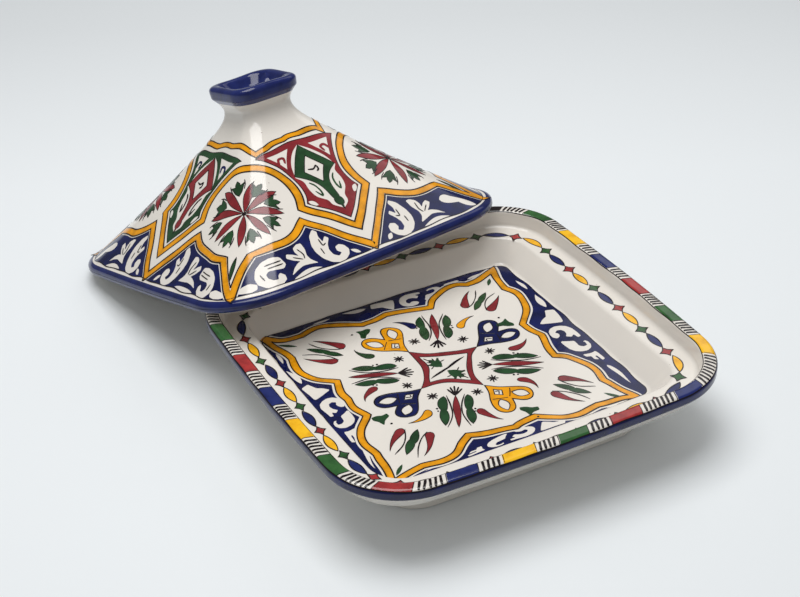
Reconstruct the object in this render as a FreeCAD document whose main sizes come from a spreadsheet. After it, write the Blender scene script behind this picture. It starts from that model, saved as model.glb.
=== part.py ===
import FreeCAD, Part
import math
import os
import re

import Sketcher

# A square serving tagine in glazed earthenware: a dish on a foot ring, and a steep hollow lid
# with a cupped knob. The lid is off and leans on the dish, with its far edge on the table.
# Millimetres, +Z up. The origin is on the table, under the middle of the dish.

document = FreeCAD.newDocument("tagine")

# Driving sizes. A half is the distance from the middle to the middle of a side.
SIZES = {
    # dish, outwards in
    "rim_half": 131.7,
    "rim_corner": 49.2,
    "rim_width": 8.8,
    "gallery_draft": 2.4,
    "ledge_width": 16.3,
    "wall_run": 13.2,
    "well_corner": 7.5,
    "shoulder_inset": 10.5,
    "base_margin": 3.4,
    "base_corner": 30.0,
    # dish, downwards
    "well_depth": 24.8,
    "gallery_depth": 11.0,
    "rim_band": 6.0,        # height of the upright edge round the rim
    "collar_height": 18.5,
    "floor_thickness": 9.2,
    "foot_height": 16.0,
    "foot_inset": 1.8,
    "foot_taper": 1.6,
    "foot_width": 10.0,
    # dish, roundings
    "rim_round": 2.8,
    "band_round": 2.5,
    "rim_inner_round": 2.2,
    "gallery_round": 3.5,
    "ledge_round": 4.5,
    "floor_round": 3.0,
    "shoulder_round": 3.0,
    "foot_round": 1.8,
    # lid
    "lid_clearance": 2.3,
    "lid_corner": 44.0,
    "lip_height": 8.0,
    "lip_round": 3.8,
    "lip_step": 5.0,
    "lid_rise": 89.0,
    "lid_wall": 10.5,       # measured level, so about 7 square to the slope
    "neck_half": 19.4,
    "neck_corner": 8.5,
    # knob
    "knob_half": 26.2,
    "knob_corner": 12.5,
    "knob_flare": 7.0,
    "knob_roll": 10.6,
    "knob_round": 4.8,
    "knob_under_round": 3.0,
    "knob_step": 0.8,
    "bowl_wall": 9.8,
    "bowl_depth": 11.0,
    "bowl_draft": 5.0,
    "bowl_round": 5.0,
    # where the lid lies, as photographed
    "lid_aside": -28.6,     # along X from the middle of the dish
    "lid_beyond": 54.4,     # along Y from the back of the rim
    "lid_turn": 9.0,        # degrees about Z
    "clearance": 0.3,       # between the leaning lid, the rim and the table
}

# Plain numbers. A bow is the radius of a bowed side, as a multiple of its half.
RATIOS = {
    "rim_bow": 14.0,
    "well_bow": 33.0,
    "lid_bow": 21.0,
    "lid_sweep": 1.233,     # power of the hollow curve from lip to neck
    "lid_crown": 0.9,       # how far up the slope the hollow reaches
}

# Sizes that follow from the ones above.
DERIVED = {
    "rim_top": "foot_height + floor_thickness + well_depth",
    "band_bottom": "rim_top - rim_band",
    "ledge_top": "rim_top - gallery_depth",
    "floor_top": "rim_top - well_depth",
    "shoulder_top": "rim_top - collar_height",
    "rim_inner_half": "rim_half - rim_width",
    "rim_inner_corner": "rim_corner - rim_width",
    "gallery_half": "rim_inner_half - gallery_draft",
    "gallery_corner": "rim_inner_corner - gallery_draft",
    "ledge_half": "gallery_half - ledge_width",
    "ledge_corner": "gallery_corner - ledge_width",
    "floor_half": "ledge_half - wall_run",
    "shoulder_half": "rim_half - shoulder_inset",
    "shoulder_corner": "rim_corner - shoulder_inset",
    "base_half": "floor_half + base_margin",
    "foot_top_half": "base_half - foot_inset",
    "foot_top_corner": "base_corner - foot_inset",
    "foot_half": "foot_top_half - foot_taper",
    "foot_corner": "foot_top_corner - foot_taper",
    "lip_half": "gallery_half - lid_clearance",
    "slope_half": "lip_half - lip_step",
    "slope_corner": "lid_corner - lip_step",
    "neck_top": "lip_height + lid_rise",
    "knob_under": "neck_top + knob_flare",
    "knob_top": "knob_under + knob_roll",
}


def make_sheet():
    """The spreadsheet that every sub-part reads its sizes from."""
    table = document.addObject("Spreadsheet::Sheet", "sizes")
    rows = list(SIZES.items()) + list(RATIOS.items())
    rows += [(name, "=" + rule) for name, rule in DERIVED.items()]
    for row, (name, content) in enumerate(rows, start=1):
        table.set("A%d" % row, name)
        table.set("B%d" % row, str(content))
        table.setAlias("B%d" % row, name)
    document.recompute()
    return table


sheet = make_sheet()


def size(name):
    """One size from the sheet, as a number."""
    return float(getattr(sheet, name))


def value(rule):
    """An expression on the sheet's sizes, as a number."""
    return float(sheet.evalExpression(rule))


def cell(rule):
    """The same expression, written for an object other than the sheet."""
    return re.sub("[a-z_]+", lambda word: "sizes." + word.group(), rule)


def corner_centre(half, corner, side):
    """How far a corner arc's centre lies from each middle plane of a bowed rounded square."""
    offset = side - half
    return (math.sqrt(2 * (side - corner) ** 2 - offset ** 2) - offset) / 2


def bind(sketch, constraint, rule):
    """Adds a constraint whose value follows an expression."""
    number = sketch.addConstraint(constraint)
    sketch.setExpression("Constraints[%d]" % number, cell(rule))


class Outline:
    """A rounded square with bowed sides at one height, all given as expressions."""

    def __init__(self, half, corner, bow, height):
        self.half = half
        self.corner = corner
        self.side = "(%s) * (%s)" % (half, bow)
        self.height = height

    def reaches(self):
        """Distances from the axis to the middle of a side arc and of a corner arc."""
        half, corner = value(self.half), value(self.corner)
        centre = corner_centre(half, corner, value(self.side))
        return half, math.sqrt(2) * centre + corner

    def sketch(self, body, name):
        """The outline as a fully constrained sketch of eight tangent arcs."""
        sketch = body.newObject("Sketcher::SketchObject", name)
        planes = body.Origin.OriginFeatures
        sketch.AttachmentSupport = [(next(p for p in planes if p.Role == "XY_Plane"), "")]
        sketch.MapMode = "FlatFace"
        half, corner, side = value(self.half), value(self.corner), value(self.side)
        offset = side - half
        centre = corner_centre(half, corner, side)
        spread = math.atan2(centre, centre + offset)
        quarter = math.pi / 2
        up = FreeCAD.Vector(0, 0, 1)
        for turn in range(4):
            away = FreeCAD.Vector(math.cos(turn * quarter), math.sin(turn * quarter), 0)
            across = FreeCAD.Vector(-away.y, away.x, 0)
            start = turn * quarter
            side_circle = Part.Circle(away * -offset, up, side)
            sketch.addGeometry(Part.ArcOfCircle(side_circle, start - spread, start + spread))
            corner_circle = Part.Circle((away + across) * centre, up, corner)
            sketch.addGeometry(Part.ArcOfCircle(corner_circle, start + spread, start + quarter - spread))
        arcs = 8
        for arc in range(arcs):
            sketch.addConstraint(Sketcher.Constraint("Tangent", arc, 2, (arc + 1) % arcs, 1))
        for arc in range(2, arcs):
            sketch.addConstraint(Sketcher.Constraint("Equal", arc % 2, arc))
        for arc, axis in ((0, -1), (2, -2), (4, -1), (6, -2)):
            sketch.addConstraint(Sketcher.Constraint("PointOnObject", arc, 3, axis))
        offset_rule = "(%s) - (%s)" % (self.side, self.half)
        for arc, way in ((0, "DistanceX"), (2, "DistanceY")):
            bind(sketch, Sketcher.Constraint(way, arc, 3, -1, 1, offset), offset_rule)
            bind(sketch, Sketcher.Constraint(way, -1, 1, arc + 4, 3, offset), offset_rule)
        bind(sketch, Sketcher.Constraint("Radius", 0, side), self.side)
        bind(sketch, Sketcher.Constraint("Radius", 1, corner), self.corner)
        sketch.setExpression("AttachmentOffset.Base.z", cell(self.height))
        document.recompute()
        return sketch


def new_body(name):
    body = document.addObject("PartDesign::Body", name)
    body.Label = name
    return body


def loft(body, name, outlines, adds=True, ruled=True):
    """A loft through outlines, which adds to the body or cuts it."""
    sketches = [outline.sketch(body, "%s_%d" % (name, number))
                for number, outline in enumerate(outlines)]
    kind = "PartDesign::AdditiveLoft" if adds else "PartDesign::SubtractiveLoft"
    feature = body.newObject(kind, name)
    feature.Profile = sketches[0]
    feature.Sections = sketches[1:]
    feature.Ruled = ruled
    document.recompute()
    return feature


def pad(body, name, outline, length):
    """A straight prism up from an outline."""
    feature = body.newObject("PartDesign::Pad", name)
    feature.Profile = outline.sketch(body, name + "_0")
    feature.setExpression("Length", cell(length))
    document.recompute()
    return feature


def pocket(body, name, outline, depth):
    """A straight cut up from an outline."""
    feature = body.newObject("PartDesign::Pocket", name)
    feature.Profile = outline.sketch(body, name + "_0")
    feature.setExpression("Length", cell(depth))
    feature.Reversed = True
    document.recompute()
    return feature


def fillet(body, name, outline, radius):
    """Rounds the edges that lie on an outline."""
    near = 0.02
    base = body.Tip
    height = value(outline.height)
    side_reach, corner_reach = outline.reaches()
    edges = []
    for number, edge in enumerate(base.Shape.Edges, start=1):
        box = edge.BoundBox
        middle = edge.valueAt((edge.FirstParameter + edge.LastParameter) / 2)
        is_side = min(abs(middle.x), abs(middle.y)) < near
        expected = side_reach if is_side else corner_reach
        level = abs(box.ZMin - height) < near and abs(box.ZMax - height) < near
        if level and abs(math.hypot(middle.x, middle.y) - expected) < near:
            edges.append("Edge%d" % number)
    if len(edges) != 8:
        raise RuntimeError("%s found %d edges, not 8" % (name, len(edges)))
    feature = body.newObject("PartDesign::Fillet", name)
    feature.Base = (base, edges)
    feature.setExpression("Radius", cell(radius))
    document.recompute()
    return feature


def make_dish():
    """The dish: a flared collar, a gallery that the lid seats in, and a sloping well."""
    rim = Outline("rim_half", "rim_corner", "rim_bow", "rim_top")
    band = Outline("rim_half", "rim_corner", "rim_bow", "band_bottom")
    shoulder = Outline("shoulder_half", "shoulder_corner", "rim_bow", "shoulder_top")
    base = Outline("base_half", "base_corner", "well_bow", "foot_height")
    mouth = Outline("rim_inner_half", "rim_inner_corner", "rim_bow", "rim_top")
    gallery = Outline("gallery_half", "gallery_corner", "rim_bow", "ledge_top")
    ledge = Outline("ledge_half", "ledge_corner", "well_bow", "ledge_top")
    floor = Outline("floor_half", "well_corner", "well_bow", "floor_top")
    body = new_body("dish")
    loft(body, "dish_outside", [base, shoulder, band, rim])
    loft(body, "dish_gallery", [gallery, mouth], adds=False)
    loft(body, "dish_well", [floor, ledge], adds=False)
    fillet(body, "rim_outer_edge", rim, "rim_round")
    fillet(body, "rim_band_edge", band, "band_round")
    fillet(body, "rim_inner_edge", mouth, "rim_inner_round")
    fillet(body, "gallery_corner_edge", gallery, "gallery_round")
    fillet(body, "ledge_edge", ledge, "ledge_round")
    fillet(body, "well_floor_edge", floor, "floor_round")
    fillet(body, "shoulder_edge", shoulder, "shoulder_round")
    return body


def make_foot_ring():
    """The ring under the dish, which lifts the warm base off the table."""
    bottom = Outline("foot_half", "foot_corner", "well_bow", "0")
    top = Outline("foot_top_half", "foot_top_corner", "well_bow", "foot_height")
    inner = Outline("foot_half - foot_width", "foot_corner - foot_width", "well_bow", "0")
    body = new_body("foot_ring")
    loft(body, "ring_outside", [bottom, top])
    pocket(body, "ring_inside", inner, "foot_height")
    fillet(body, "ring_outer_edge", bottom, "foot_round")
    fillet(body, "ring_inner_edge", inner, "foot_round")
    return body


def slope_half(share):
    """The lid's half-size at a share of the way up from the lip to the neck."""
    return "neck_half + (slope_half - neck_half) * (1 - %g) ^ lid_sweep" % share


def slope_outline(share, inset="0"):
    """The lid's outline there, drawn in by an inset for the hollow."""
    half = slope_half(share)
    corner = "neck_corner + (slope_corner - neck_corner) * (1 - %g) ^ lid_sweep" % share
    inner = "(%s - %s)" % (half, inset)
    kept = "(%s) * %s / (%s)" % (corner, inner, half)
    return Outline(inner, kept, "lid_bow", "lip_height + lid_rise * %g" % share)


def make_lid_shell():
    """The lid up to its neck: a rolled lip and four hollow-curved faces with round ridges."""
    lip = Outline("lip_half", "lid_corner", "lid_bow", "0")
    lip_top = Outline("lip_half", "lid_corner", "lid_bow", "lip_height")
    body = new_body("lid_shell")
    pad(body, "lip", lip, "lip_height")
    shares = [0, 0.15, 0.32, 0.5, 0.68, 0.85, 1]
    loft(body, "lid_slope", [slope_outline(share) for share in shares], ruled=False)
    crown = size("lid_crown")
    hollow = [slope_outline(crown * share, "lid_wall") for share in (0, 0.25, 0.5, 0.75, 1)]
    loft(body, "lid_hollow", hollow, adds=False, ruled=False)
    foot = slope_outline(0, "lid_wall")
    mouth = Outline(foot.half, foot.corner, "lid_bow", "0")
    pocket(body, "lid_mouth", mouth, "lip_height")
    fillet(body, "lip_upper_edge", lip_top, "lip_round")
    fillet(body, "lip_lower_edge", lip, "lip_round")
    return body


def make_knob():
    """The knob: a flared neck under a rolled square rim round a bowl."""
    neck = slope_outline(1)
    waist = Outline("neck_half + (knob_half - knob_under_round - knob_step - neck_half) * 0.3",
                    "neck_corner", "lid_bow", "neck_top + knob_flare / 2")
    under = Outline("knob_half - knob_under_round - knob_step", "knob_corner - knob_under_round / 2",
                    "lid_bow", "knob_under")
    roll = Outline("knob_half", "knob_corner", "lid_bow", "knob_under")
    roll_top = Outline("knob_half", "knob_corner", "lid_bow", "knob_top")
    bowl = Outline("knob_half - bowl_wall", "knob_corner - bowl_wall / 2", "lid_bow", "knob_top")
    bowl_floor = Outline("knob_half - bowl_wall - bowl_draft", "knob_corner - bowl_wall / 2",
                         "lid_bow", "knob_top - bowl_depth")
    body = new_body("knob")
    loft(body, "knob_neck", [neck, waist, under], ruled=False)
    pad(body, "knob_rim", roll, "knob_roll")
    loft(body, "knob_bowl", [bowl_floor, bowl], adds=False)
    fillet(body, "knob_outer_edge", roll_top, "knob_round")
    fillet(body, "knob_inner_edge", bowl, "knob_round")
    fillet(body, "knob_lower_edge", roll, "knob_under_round")
    fillet(body, "knob_bowl_edge", bowl_floor, "bowl_round")
    return body


def lid_placement(lean):
    """The lid tipped up by an angle in degrees, with its far edge just above the table."""
    angle = math.radians(lean)
    round_centre = size("lip_half") - size("lip_round")
    drop = round_centre * math.sin(angle) - size("lip_round") * math.cos(angle) + size("lip_round")
    place = FreeCAD.Vector(size("lid_aside"), size("rim_half") + size("lid_beyond"),
                           drop + size("clearance"))
    turned = FreeCAD.Rotation(FreeCAD.Vector(0, 0, 1), size("lid_turn"))
    tipped = FreeCAD.Rotation(FreeCAD.Vector(1, 0, 0), -lean)
    return FreeCAD.Placement(place, turned.multiply(tipped))


def find_lean(dish, shell):
    """The angle at which the lid comes down to the clearance above the dish's rim."""
    low, high = 0.0, 40.0
    fine_enough = 0.002
    lid = shell.Shape.copy()
    while high - low > fine_enough:
        lean = (low + high) / 2
        lid.Placement = lid_placement(lean)
        gap = lid.distToShape(dish.Shape)[0]
        if gap > size("clearance"):
            high = lean
        else:
            low = lean
    return high


def check_and_write(pieces):
    """Stops on any failed feature or bad shape, then writes one file for each piece."""
    for item in document.Objects:
        if "Invalid" in item.State or "Error" in item.State:
            raise RuntimeError("failed: %s %s" % (item.Name, item.State))
    for piece in pieces:
        shape = piece.Shape
        if shape.isNull() or not shape.isValid() or len(shape.Solids) != 1:
            raise RuntimeError("bad shape: " + piece.Label)
    os.makedirs("parts", exist_ok=True)
    for piece in pieces:
        piece.Shape.exportStep(os.path.join("parts", piece.Label + ".step"))
        box = piece.Shape.BoundBox
        print("%s: %.0f mm3, x %.1f to %.1f, y %.1f to %.1f, z %.1f to %.1f" % (
            piece.Label, piece.Shape.Volume,
            box.XMin, box.XMax, box.YMin, box.YMax, box.ZMin, box.ZMax))


dish = make_dish()
foot_ring = make_foot_ring()
lid_shell = make_lid_shell()
knob = make_knob()
lean = find_lean(dish, lid_shell)
print("lid leans %.2f degrees" % lean)
for piece in (lid_shell, knob):
    piece.Placement = lid_placement(lean)
document.recompute()
check_and_write([dish, foot_ring, lid_shell, knob])
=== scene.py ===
import math
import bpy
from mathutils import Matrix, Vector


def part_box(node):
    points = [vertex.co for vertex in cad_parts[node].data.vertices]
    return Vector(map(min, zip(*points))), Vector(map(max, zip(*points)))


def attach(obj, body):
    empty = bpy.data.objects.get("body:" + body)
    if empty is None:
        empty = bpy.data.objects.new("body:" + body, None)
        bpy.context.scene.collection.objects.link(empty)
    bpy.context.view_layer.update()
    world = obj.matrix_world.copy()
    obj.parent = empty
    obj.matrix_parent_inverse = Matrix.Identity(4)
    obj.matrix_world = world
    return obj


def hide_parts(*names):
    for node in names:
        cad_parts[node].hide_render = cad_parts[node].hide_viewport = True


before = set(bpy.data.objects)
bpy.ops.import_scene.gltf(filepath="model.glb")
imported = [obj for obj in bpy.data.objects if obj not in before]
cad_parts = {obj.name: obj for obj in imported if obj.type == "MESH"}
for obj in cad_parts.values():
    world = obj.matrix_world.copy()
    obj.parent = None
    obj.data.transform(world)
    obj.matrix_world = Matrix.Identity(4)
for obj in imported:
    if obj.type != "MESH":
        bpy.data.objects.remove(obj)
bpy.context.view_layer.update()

from types import SimpleNamespace

import bmesh
import bpy
import numpy as np
from bpy.props import FloatProperty, FloatVectorProperty, PointerProperty
from mathutils import Matrix, Vector
from mathutils.geometry import delaunay_2d_cdt

bl_info = {
    "name": "Square serving tagine",
    "version": (1, 0, 0),
    "blender": (4, 5, 0),
    "location": "View3D > Sidebar > Tagine",
    "description": "A painted and glazed square tagine, with its lid leaning on the dish",
    "category": "Add Mesh",
}

MM = 0.001

# Roundings in millimetres that more than one piece needs.
RIM_OUTER_ROUND = 2.8
RIM_INNER_ROUND = 2.2
LIP_ROUND = 3.8


def length(name, description, millimetres):
    """A length property with its default in millimetres."""
    return FloatProperty(name=name, description=description, default=millimetres * MM,
                         min=0.0, unit="LENGTH", subtype="DISTANCE")


def degrees(name, description, default):
    """An angle property with its default in degrees."""
    return FloatProperty(name=name, description=description, default=math.radians(default),
                         unit="ROTATION", subtype="ANGLE")


def ratio(name, description, default):
    """A plain number property."""
    return FloatProperty(name=name, description=description, default=default, min=0.0)


def linear(channel):
    """One display colour channel of 0 to 255 as a linear value."""
    share = channel / 255
    return share / 12.92 if share <= 0.04045 else ((share + 0.055) / 1.055) ** 2.4


def colour(name, description, red, green, blue):
    """A colour property with its default in display values of 0 to 255."""
    return FloatVectorProperty(name=name, description=description, subtype="COLOR", size=3,
                               min=0.0, max=1.0, default=(linear(red), linear(green), linear(blue)))


class TagineSizes(bpy.types.PropertyGroup):
    """Sizes of the glazed forms. Those of the rim and the foot are taken from the solids."""

    rim_half: length("Rim half", "Middle of the dish to the middle of a side",
                     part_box("dish")[1].x / MM)
    rim_corner: length("Rim corner", "Corner radius of the rim", 49.2)
    rim_top: length("Rim top", "Height of the rim above the table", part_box("dish")[1].z / MM)
    rim_band: length("Rim band", "Height of the upright edge round the rim", 6.0)
    rim_width: length("Rim width", "Width of the flat rim", 8.8)
    gallery_draft: length("Gallery draft", "How far the wall under the rim leans in", 2.4)
    gallery_depth: length("Gallery depth", "Rim down to the ledge", 11.0)
    ledge_width: length("Ledge width", "Width of the ledge that carries the lid", 16.3)
    wall_run: length("Wall run", "How far the well's wall leans in", 13.2)
    well_depth: length("Well depth", "Rim down to the floor", 24.8)
    well_corner: length("Well corner", "Corner radius of the floor", 7.5)
    well_aside: length("Well aside", "How much further the floor reaches on the left", 7.5)
    collar_height: length("Collar height", "Rim down to the shoulder", 18.5)
    shoulder_inset: length("Shoulder inset", "How far the shoulder lies inside the rim", 10.5)
    base_margin: length("Base margin", "How far the base is wider than the floor", 3.4)
    base_corner: length("Base corner", "Corner radius of the base", 30.0)
    foot_height: length("Foot height", "Height of the foot ring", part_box("foot_ring")[1].z / MM)
    foot_inset: length("Foot inset", "How far the foot ring lies inside the base", 1.8)
    foot_taper: length("Foot taper", "How far the foot ring narrows to the table", 1.6)
    foot_width: length("Foot width", "Width of the foot ring", 10.0)
    lid_clearance: length("Lid clearance", "Gap between the lip and the gallery", 2.3)
    lid_corner: length("Lid corner", "Corner radius of the lip", 44.0)
    lip_height: length("Lip height", "Height of the rolled lip", 8.0)
    lip_step: length("Lip step", "How far the slope starts inside the lip", 5.0)
    lid_rise: length("Lid rise", "Lip up to the neck", 89.0)
    lid_wall: length("Lid wall", "Wall of the lid, measured level", 10.5)
    neck_half: length("Neck half", "Middle of the neck to its side", 19.4)
    neck_corner: length("Neck corner", "Corner radius of the neck", 8.5)
    knob_half: length("Knob half", "Middle of the knob to its side", 26.2)
    knob_corner: length("Knob corner", "Corner radius of the knob", 14.0)
    knob_flare: length("Knob flare", "Height of the flare under the knob", 7.0)
    knob_roll: length("Knob roll", "Height of the rolled knob", 10.6)
    bowl_wall: length("Bowl wall", "Width of the knob's roll", 6.6)
    bowl_depth: length("Bowl depth", "Depth of the cup in the knob", 7.2)
    bowl_draft: length("Bowl draft", "How far the cup's wall leans in", 4.6)
    lid_aside: length("Lid aside", "How far the lid lies to the left of the dish's middle", 28.6)
    lid_beyond: length("Lid beyond", "How far the lid's middle lies behind the rim", 54.4)
    clearance: length("Clearance", "Gap between the lid and what carries it", 0.3)


class TagineShape(bpy.types.PropertyGroup):
    """Angles and plain numbers of the same forms."""

    rim_bow: ratio("Rim bow", "Radius of a bowed rim side over its half", 14.0)
    well_bow: ratio("Well bow", "Radius of a bowed floor side over its half", 33.0)
    lid_bow: ratio("Lid bow", "Radius of a bowed lid side over its half", 21.0)
    lid_sweep: ratio("Lid sweep", "Power of the hollow curve from lip to neck", 1.233)
    lid_crown: ratio("Lid crown", "How far up the slope the hollow reaches", 0.9)
    lid_lean: degrees("Lid lean", "How far the lid tips up on the rim", 16.06)
    lid_turn: degrees("Lid turn", "How far the lid is turned on the table", 9.0)


class TagineColours(bpy.types.PropertyGroup):
    """Colours of the glazes and of the studio."""

    white: colour("White", "Ground glaze", 236, 230, 221)
    blue: colour("Blue", "Cobalt", 12, 21, 74)
    yellow: colour("Yellow", "Brushed yellow", 238, 160, 14)
    red: colour("Red", "Brushed maroon", 132, 40, 45)
    green: colour("Green", "Brushed bottle green", 35, 70, 40)
    dark: colour("Dark", "Thin brush lines", 28, 20, 22)
    rim_blue: colour("Rim blue", "Thin cobalt on the rim", 36, 47, 108)
    rim_yellow: colour("Rim yellow", "Thin yellow on the rim", 252, 196, 36)
    rim_red: colour("Rim red", "Thin red on the rim", 174, 56, 54)
    rim_green: colour("Rim green", "Thin green on the rim", 54, 102, 52)
    floor: colour("Floor", "Studio floor", 236, 240, 242)


def sizes():
    """All lengths in millimetres, with the plain numbers and angles beside them."""
    scene = bpy.context.scene
    values = {key: getattr(scene.tagine_sizes, key) / MM for key in TagineSizes.__annotations__}
    values.update({key: getattr(scene.tagine_shape, key) for key in TagineShape.__annotations__})
    s = SimpleNamespace(**values)
    s.rim_inner_half = s.rim_half - s.rim_width
    s.gallery_half = s.rim_inner_half - s.gallery_draft
    s.gallery_corner = s.rim_corner - s.rim_width - s.gallery_draft
    s.ledge_top = s.rim_top - s.gallery_depth
    s.ledge_half = s.gallery_half - s.ledge_width
    s.ledge_corner = s.gallery_corner - s.ledge_width
    s.floor_half = s.ledge_half - s.wall_run
    s.floor_top = s.rim_top - s.well_depth
    s.base_half = s.floor_half + s.base_margin
    s.lip_half = s.gallery_half - s.lid_clearance
    s.slope_half = s.lip_half - s.lip_step
    s.slope_corner = s.lid_corner - s.lip_step
    s.neck_top = s.lip_height + s.lid_rise
    return s


def lid_matrix(s):
    """From the lid's own axes to the frame, in millimetres."""
    reach = s.lip_half - LIP_ROUND
    lift = reach * math.sin(s.lid_lean) + LIP_ROUND * (1 - math.cos(s.lid_lean)) + s.clearance
    place = Matrix.Translation((-s.lid_aside, s.rim_half + s.lid_beyond, lift))
    turn = Matrix.Rotation(s.lid_turn, 4, "Z")
    lean = Matrix.Rotation(-s.lid_lean, 4, "X")
    return np.array(place @ turn @ lean)


SIDE_SHARE = 0.3    # share of a quarter turn that each half side takes


def bowed(half, corner, bow):
    """Radius of a bowed side, how far its centre lies past the middle, and the corner's centre."""
    side = half * bow
    offset = side - half
    return side, offset, (np.sqrt(2 * (side - corner) ** 2 - offset ** 2) - offset) / 2


def outline(half, corner, bow, turns):
    """Points of a rounded square with bowed sides, where a turn of 1 goes from side to side."""
    half, corner, bow, turns = np.broadcast_arrays(half, corner, bow, turns)
    side, offset, centre = bowed(half, corner, bow)
    spread = np.arctan2(centre, centre + offset)
    quarter = np.floor(turns)
    part = turns - quarter
    near = np.minimum(part, 1 - part)
    along = spread * near / SIDE_SHARE
    round_share = np.clip((near - SIDE_SHARE) / (0.5 - SIDE_SHARE), 0, 1)
    swept = spread + (np.pi / 4 - spread) * round_share
    on_side = near < SIDE_SHARE
    x = np.where(on_side, side * np.cos(along) - offset, centre + corner * np.cos(swept))
    y = np.where(on_side, side * np.sin(along), centre + corner * np.sin(swept))
    second = part > 0.5
    x, y = np.where(second, y, x), np.where(second, x, y)
    cos, sin = np.cos(quarter * np.pi / 2), np.sin(quarter * np.pi / 2)
    return np.stack([x * cos - y * sin, x * sin + y * cos], -1)


def ring_turns(side_steps, corner_steps):
    """Turns round a whole outline, closer together in the corners."""
    first = np.linspace(0, SIDE_SHARE, side_steps, endpoint=False)
    corner = np.linspace(SIDE_SHARE, 1 - SIDE_SHARE, corner_steps, endpoint=False)
    last = np.linspace(1 - SIDE_SHARE, 1, side_steps, endpoint=False)
    quarter = np.concatenate([first, corner, last])
    return np.concatenate([quarter + number for number in range(4)])


def rounded(rows, steps=8, guard=0.5):
    """Levels (half, height, corner, bow) through rows that each end in a rounding radius."""
    rows = np.array(rows, float)
    levels = []
    for number, row in enumerate(rows):
        radius = row[4]
        if radius == 0:
            levels.append(row[:4])
            continue
        before, after = rows[number - 1] - row, rows[number + 1] - row
        to_before, to_after = np.hypot(*before[:2]), np.hypot(*after[:2])
        u, v = before[:2] / to_before, after[:2] / to_after
        opening = math.acos(np.clip(u @ v, -1, 1)) / 2
        reach = radius / math.tan(opening)
        start = row[:4] + before[:4] * reach / to_before
        end = row[:4] + after[:4] * reach / to_after
        centre = row[:2] + (u + v) / np.linalg.norm(u + v) * radius / math.sin(opening)
        arm, other = start[:2] - centre, end[:2] - centre
        sweep = math.pi - 2 * opening
        levels.append(start + before[:4] * min(guard, (to_before - reach) / 3) / to_before)
        for share in np.linspace(0, 1, steps + 1):
            level = start + (end - start) * share
            level[:2] = centre + (math.sin((1 - share) * sweep) * arm
                                  + math.sin(share * sweep) * other) / math.sin(sweep)
            levels.append(level)
        levels.append(end + after[:4] * min(guard, (to_after - reach) / 3) / to_after)
    return np.array(levels)


def deselect():
    """Nothing selected and no edit mode."""
    if bpy.context.object and bpy.context.object.mode != "OBJECT":
        bpy.ops.object.mode_set(mode="OBJECT")
    bpy.ops.object.select_all(action="DESELECT")


def place_ring(mesh, points):
    """Puts the selected ring of vertices on points, both taken by their angle round the middle."""
    ring = [vertex for vertex in mesh.verts if vertex.select]
    ring.sort(key=lambda vertex: math.atan2(vertex.co.y, vertex.co.x))
    order = np.argsort(np.arctan2(points[:, 1], points[:, 0]))
    for vertex, point in zip(ring, points[order]):
        vertex.co = Vector(point) * MM


CREASE_ANGLE = math.radians(26)     # edges sharper than this stay sharp


def glaze_base(name, levels, turns, closed=False):
    """A swept piece in white glaze, with outward normals and smooth shading."""
    deselect()
    bpy.ops.mesh.primitive_circle_add(vertices=len(turns), radius=levels[0][0] * MM)
    piece = bpy.context.object
    piece.name = name
    piece.data.name = name
    bpy.ops.object.mode_set(mode="EDIT")
    bpy.ops.mesh.select_mode(type="EDGE")
    for number, (half, height, corner, bow) in enumerate(levels):
        if number:
            bpy.ops.mesh.extrude_edges_move()
        else:
            bpy.ops.mesh.select_all(action="SELECT")
        flat = outline(half, corner, bow, turns)
        mesh = bmesh.from_edit_mesh(piece.data)
        place_ring(mesh, np.column_stack([flat, np.full(len(flat), height)]))
        bmesh.update_edit_mesh(piece.data)
    bpy.ops.mesh.select_all(action="DESELECT")
    bpy.ops.mesh.select_mode(type="VERT")
    bpy.ops.mesh.select_non_manifold(extend=False)
    bpy.ops.mesh.select_mode(type="EDGE")
    if closed:
        bpy.ops.mesh.bridge_edge_loops()
    else:
        bpy.ops.mesh.edge_face_add()
    bpy.ops.mesh.select_all(action="SELECT")
    bpy.ops.mesh.normals_make_consistent(inside=False)
    bpy.ops.object.mode_set(mode="OBJECT")
    bpy.ops.object.shade_smooth_by_angle(angle=CREASE_ANGLE)
    piece.data.materials.append(glaze("white"))
    return piece


def cobalt_roll(piece, low, line=None):
    """Gives cobalt to the faces above a height and, where there is a line, outside it."""
    piece.data.materials.append(glaze("blue"))
    index = len(piece.data.materials) - 1
    for face in piece.data.polygons:
        x, y, z = face.center / MM
        if z > low and (line is None or not inside(np.array([[x, y]]), line)[0]):
            face.material_index = index


def thin_glaze(piece, wash):
    """Marks a piece whose cobalt has run thin in the kiln."""
    layer = piece.data.attributes.new("wash", "FLOAT", "POINT")
    layer.data.foreach_set("value", [wash] * len(piece.data.vertices))


class Socket:
    """A shader output that arithmetic can be written with. Each operator adds a Math node."""

    def __init__(self, tree, output):
        self.tree = tree
        self.output = output

    def math(self, operation, first, second):
        node = self.tree.nodes.new("ShaderNodeMath")
        node.operation = operation
        for entry, value in zip(node.inputs, (first, second)):
            plug(self.tree, entry, value)
        return Socket(self.tree, node.outputs[0])

    def __add__(self, other):
        return self.math("ADD", self, other)

    def __radd__(self, other):
        return self.math("ADD", other, self)

    def __sub__(self, other):
        return self.math("SUBTRACT", self, other)

    def __rsub__(self, other):
        return self.math("SUBTRACT", other, self)

    def __mul__(self, other):
        return self.math("MULTIPLY", self, other)

    def __gt__(self, other):
        return self.math("GREATER_THAN", self, other)


def plug(tree, entry, value):
    """Links a socket to an input, or sets the input to a value."""
    if isinstance(value, Socket):
        tree.links.new(value.output, entry)
    else:
        entry.default_value = value


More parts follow.
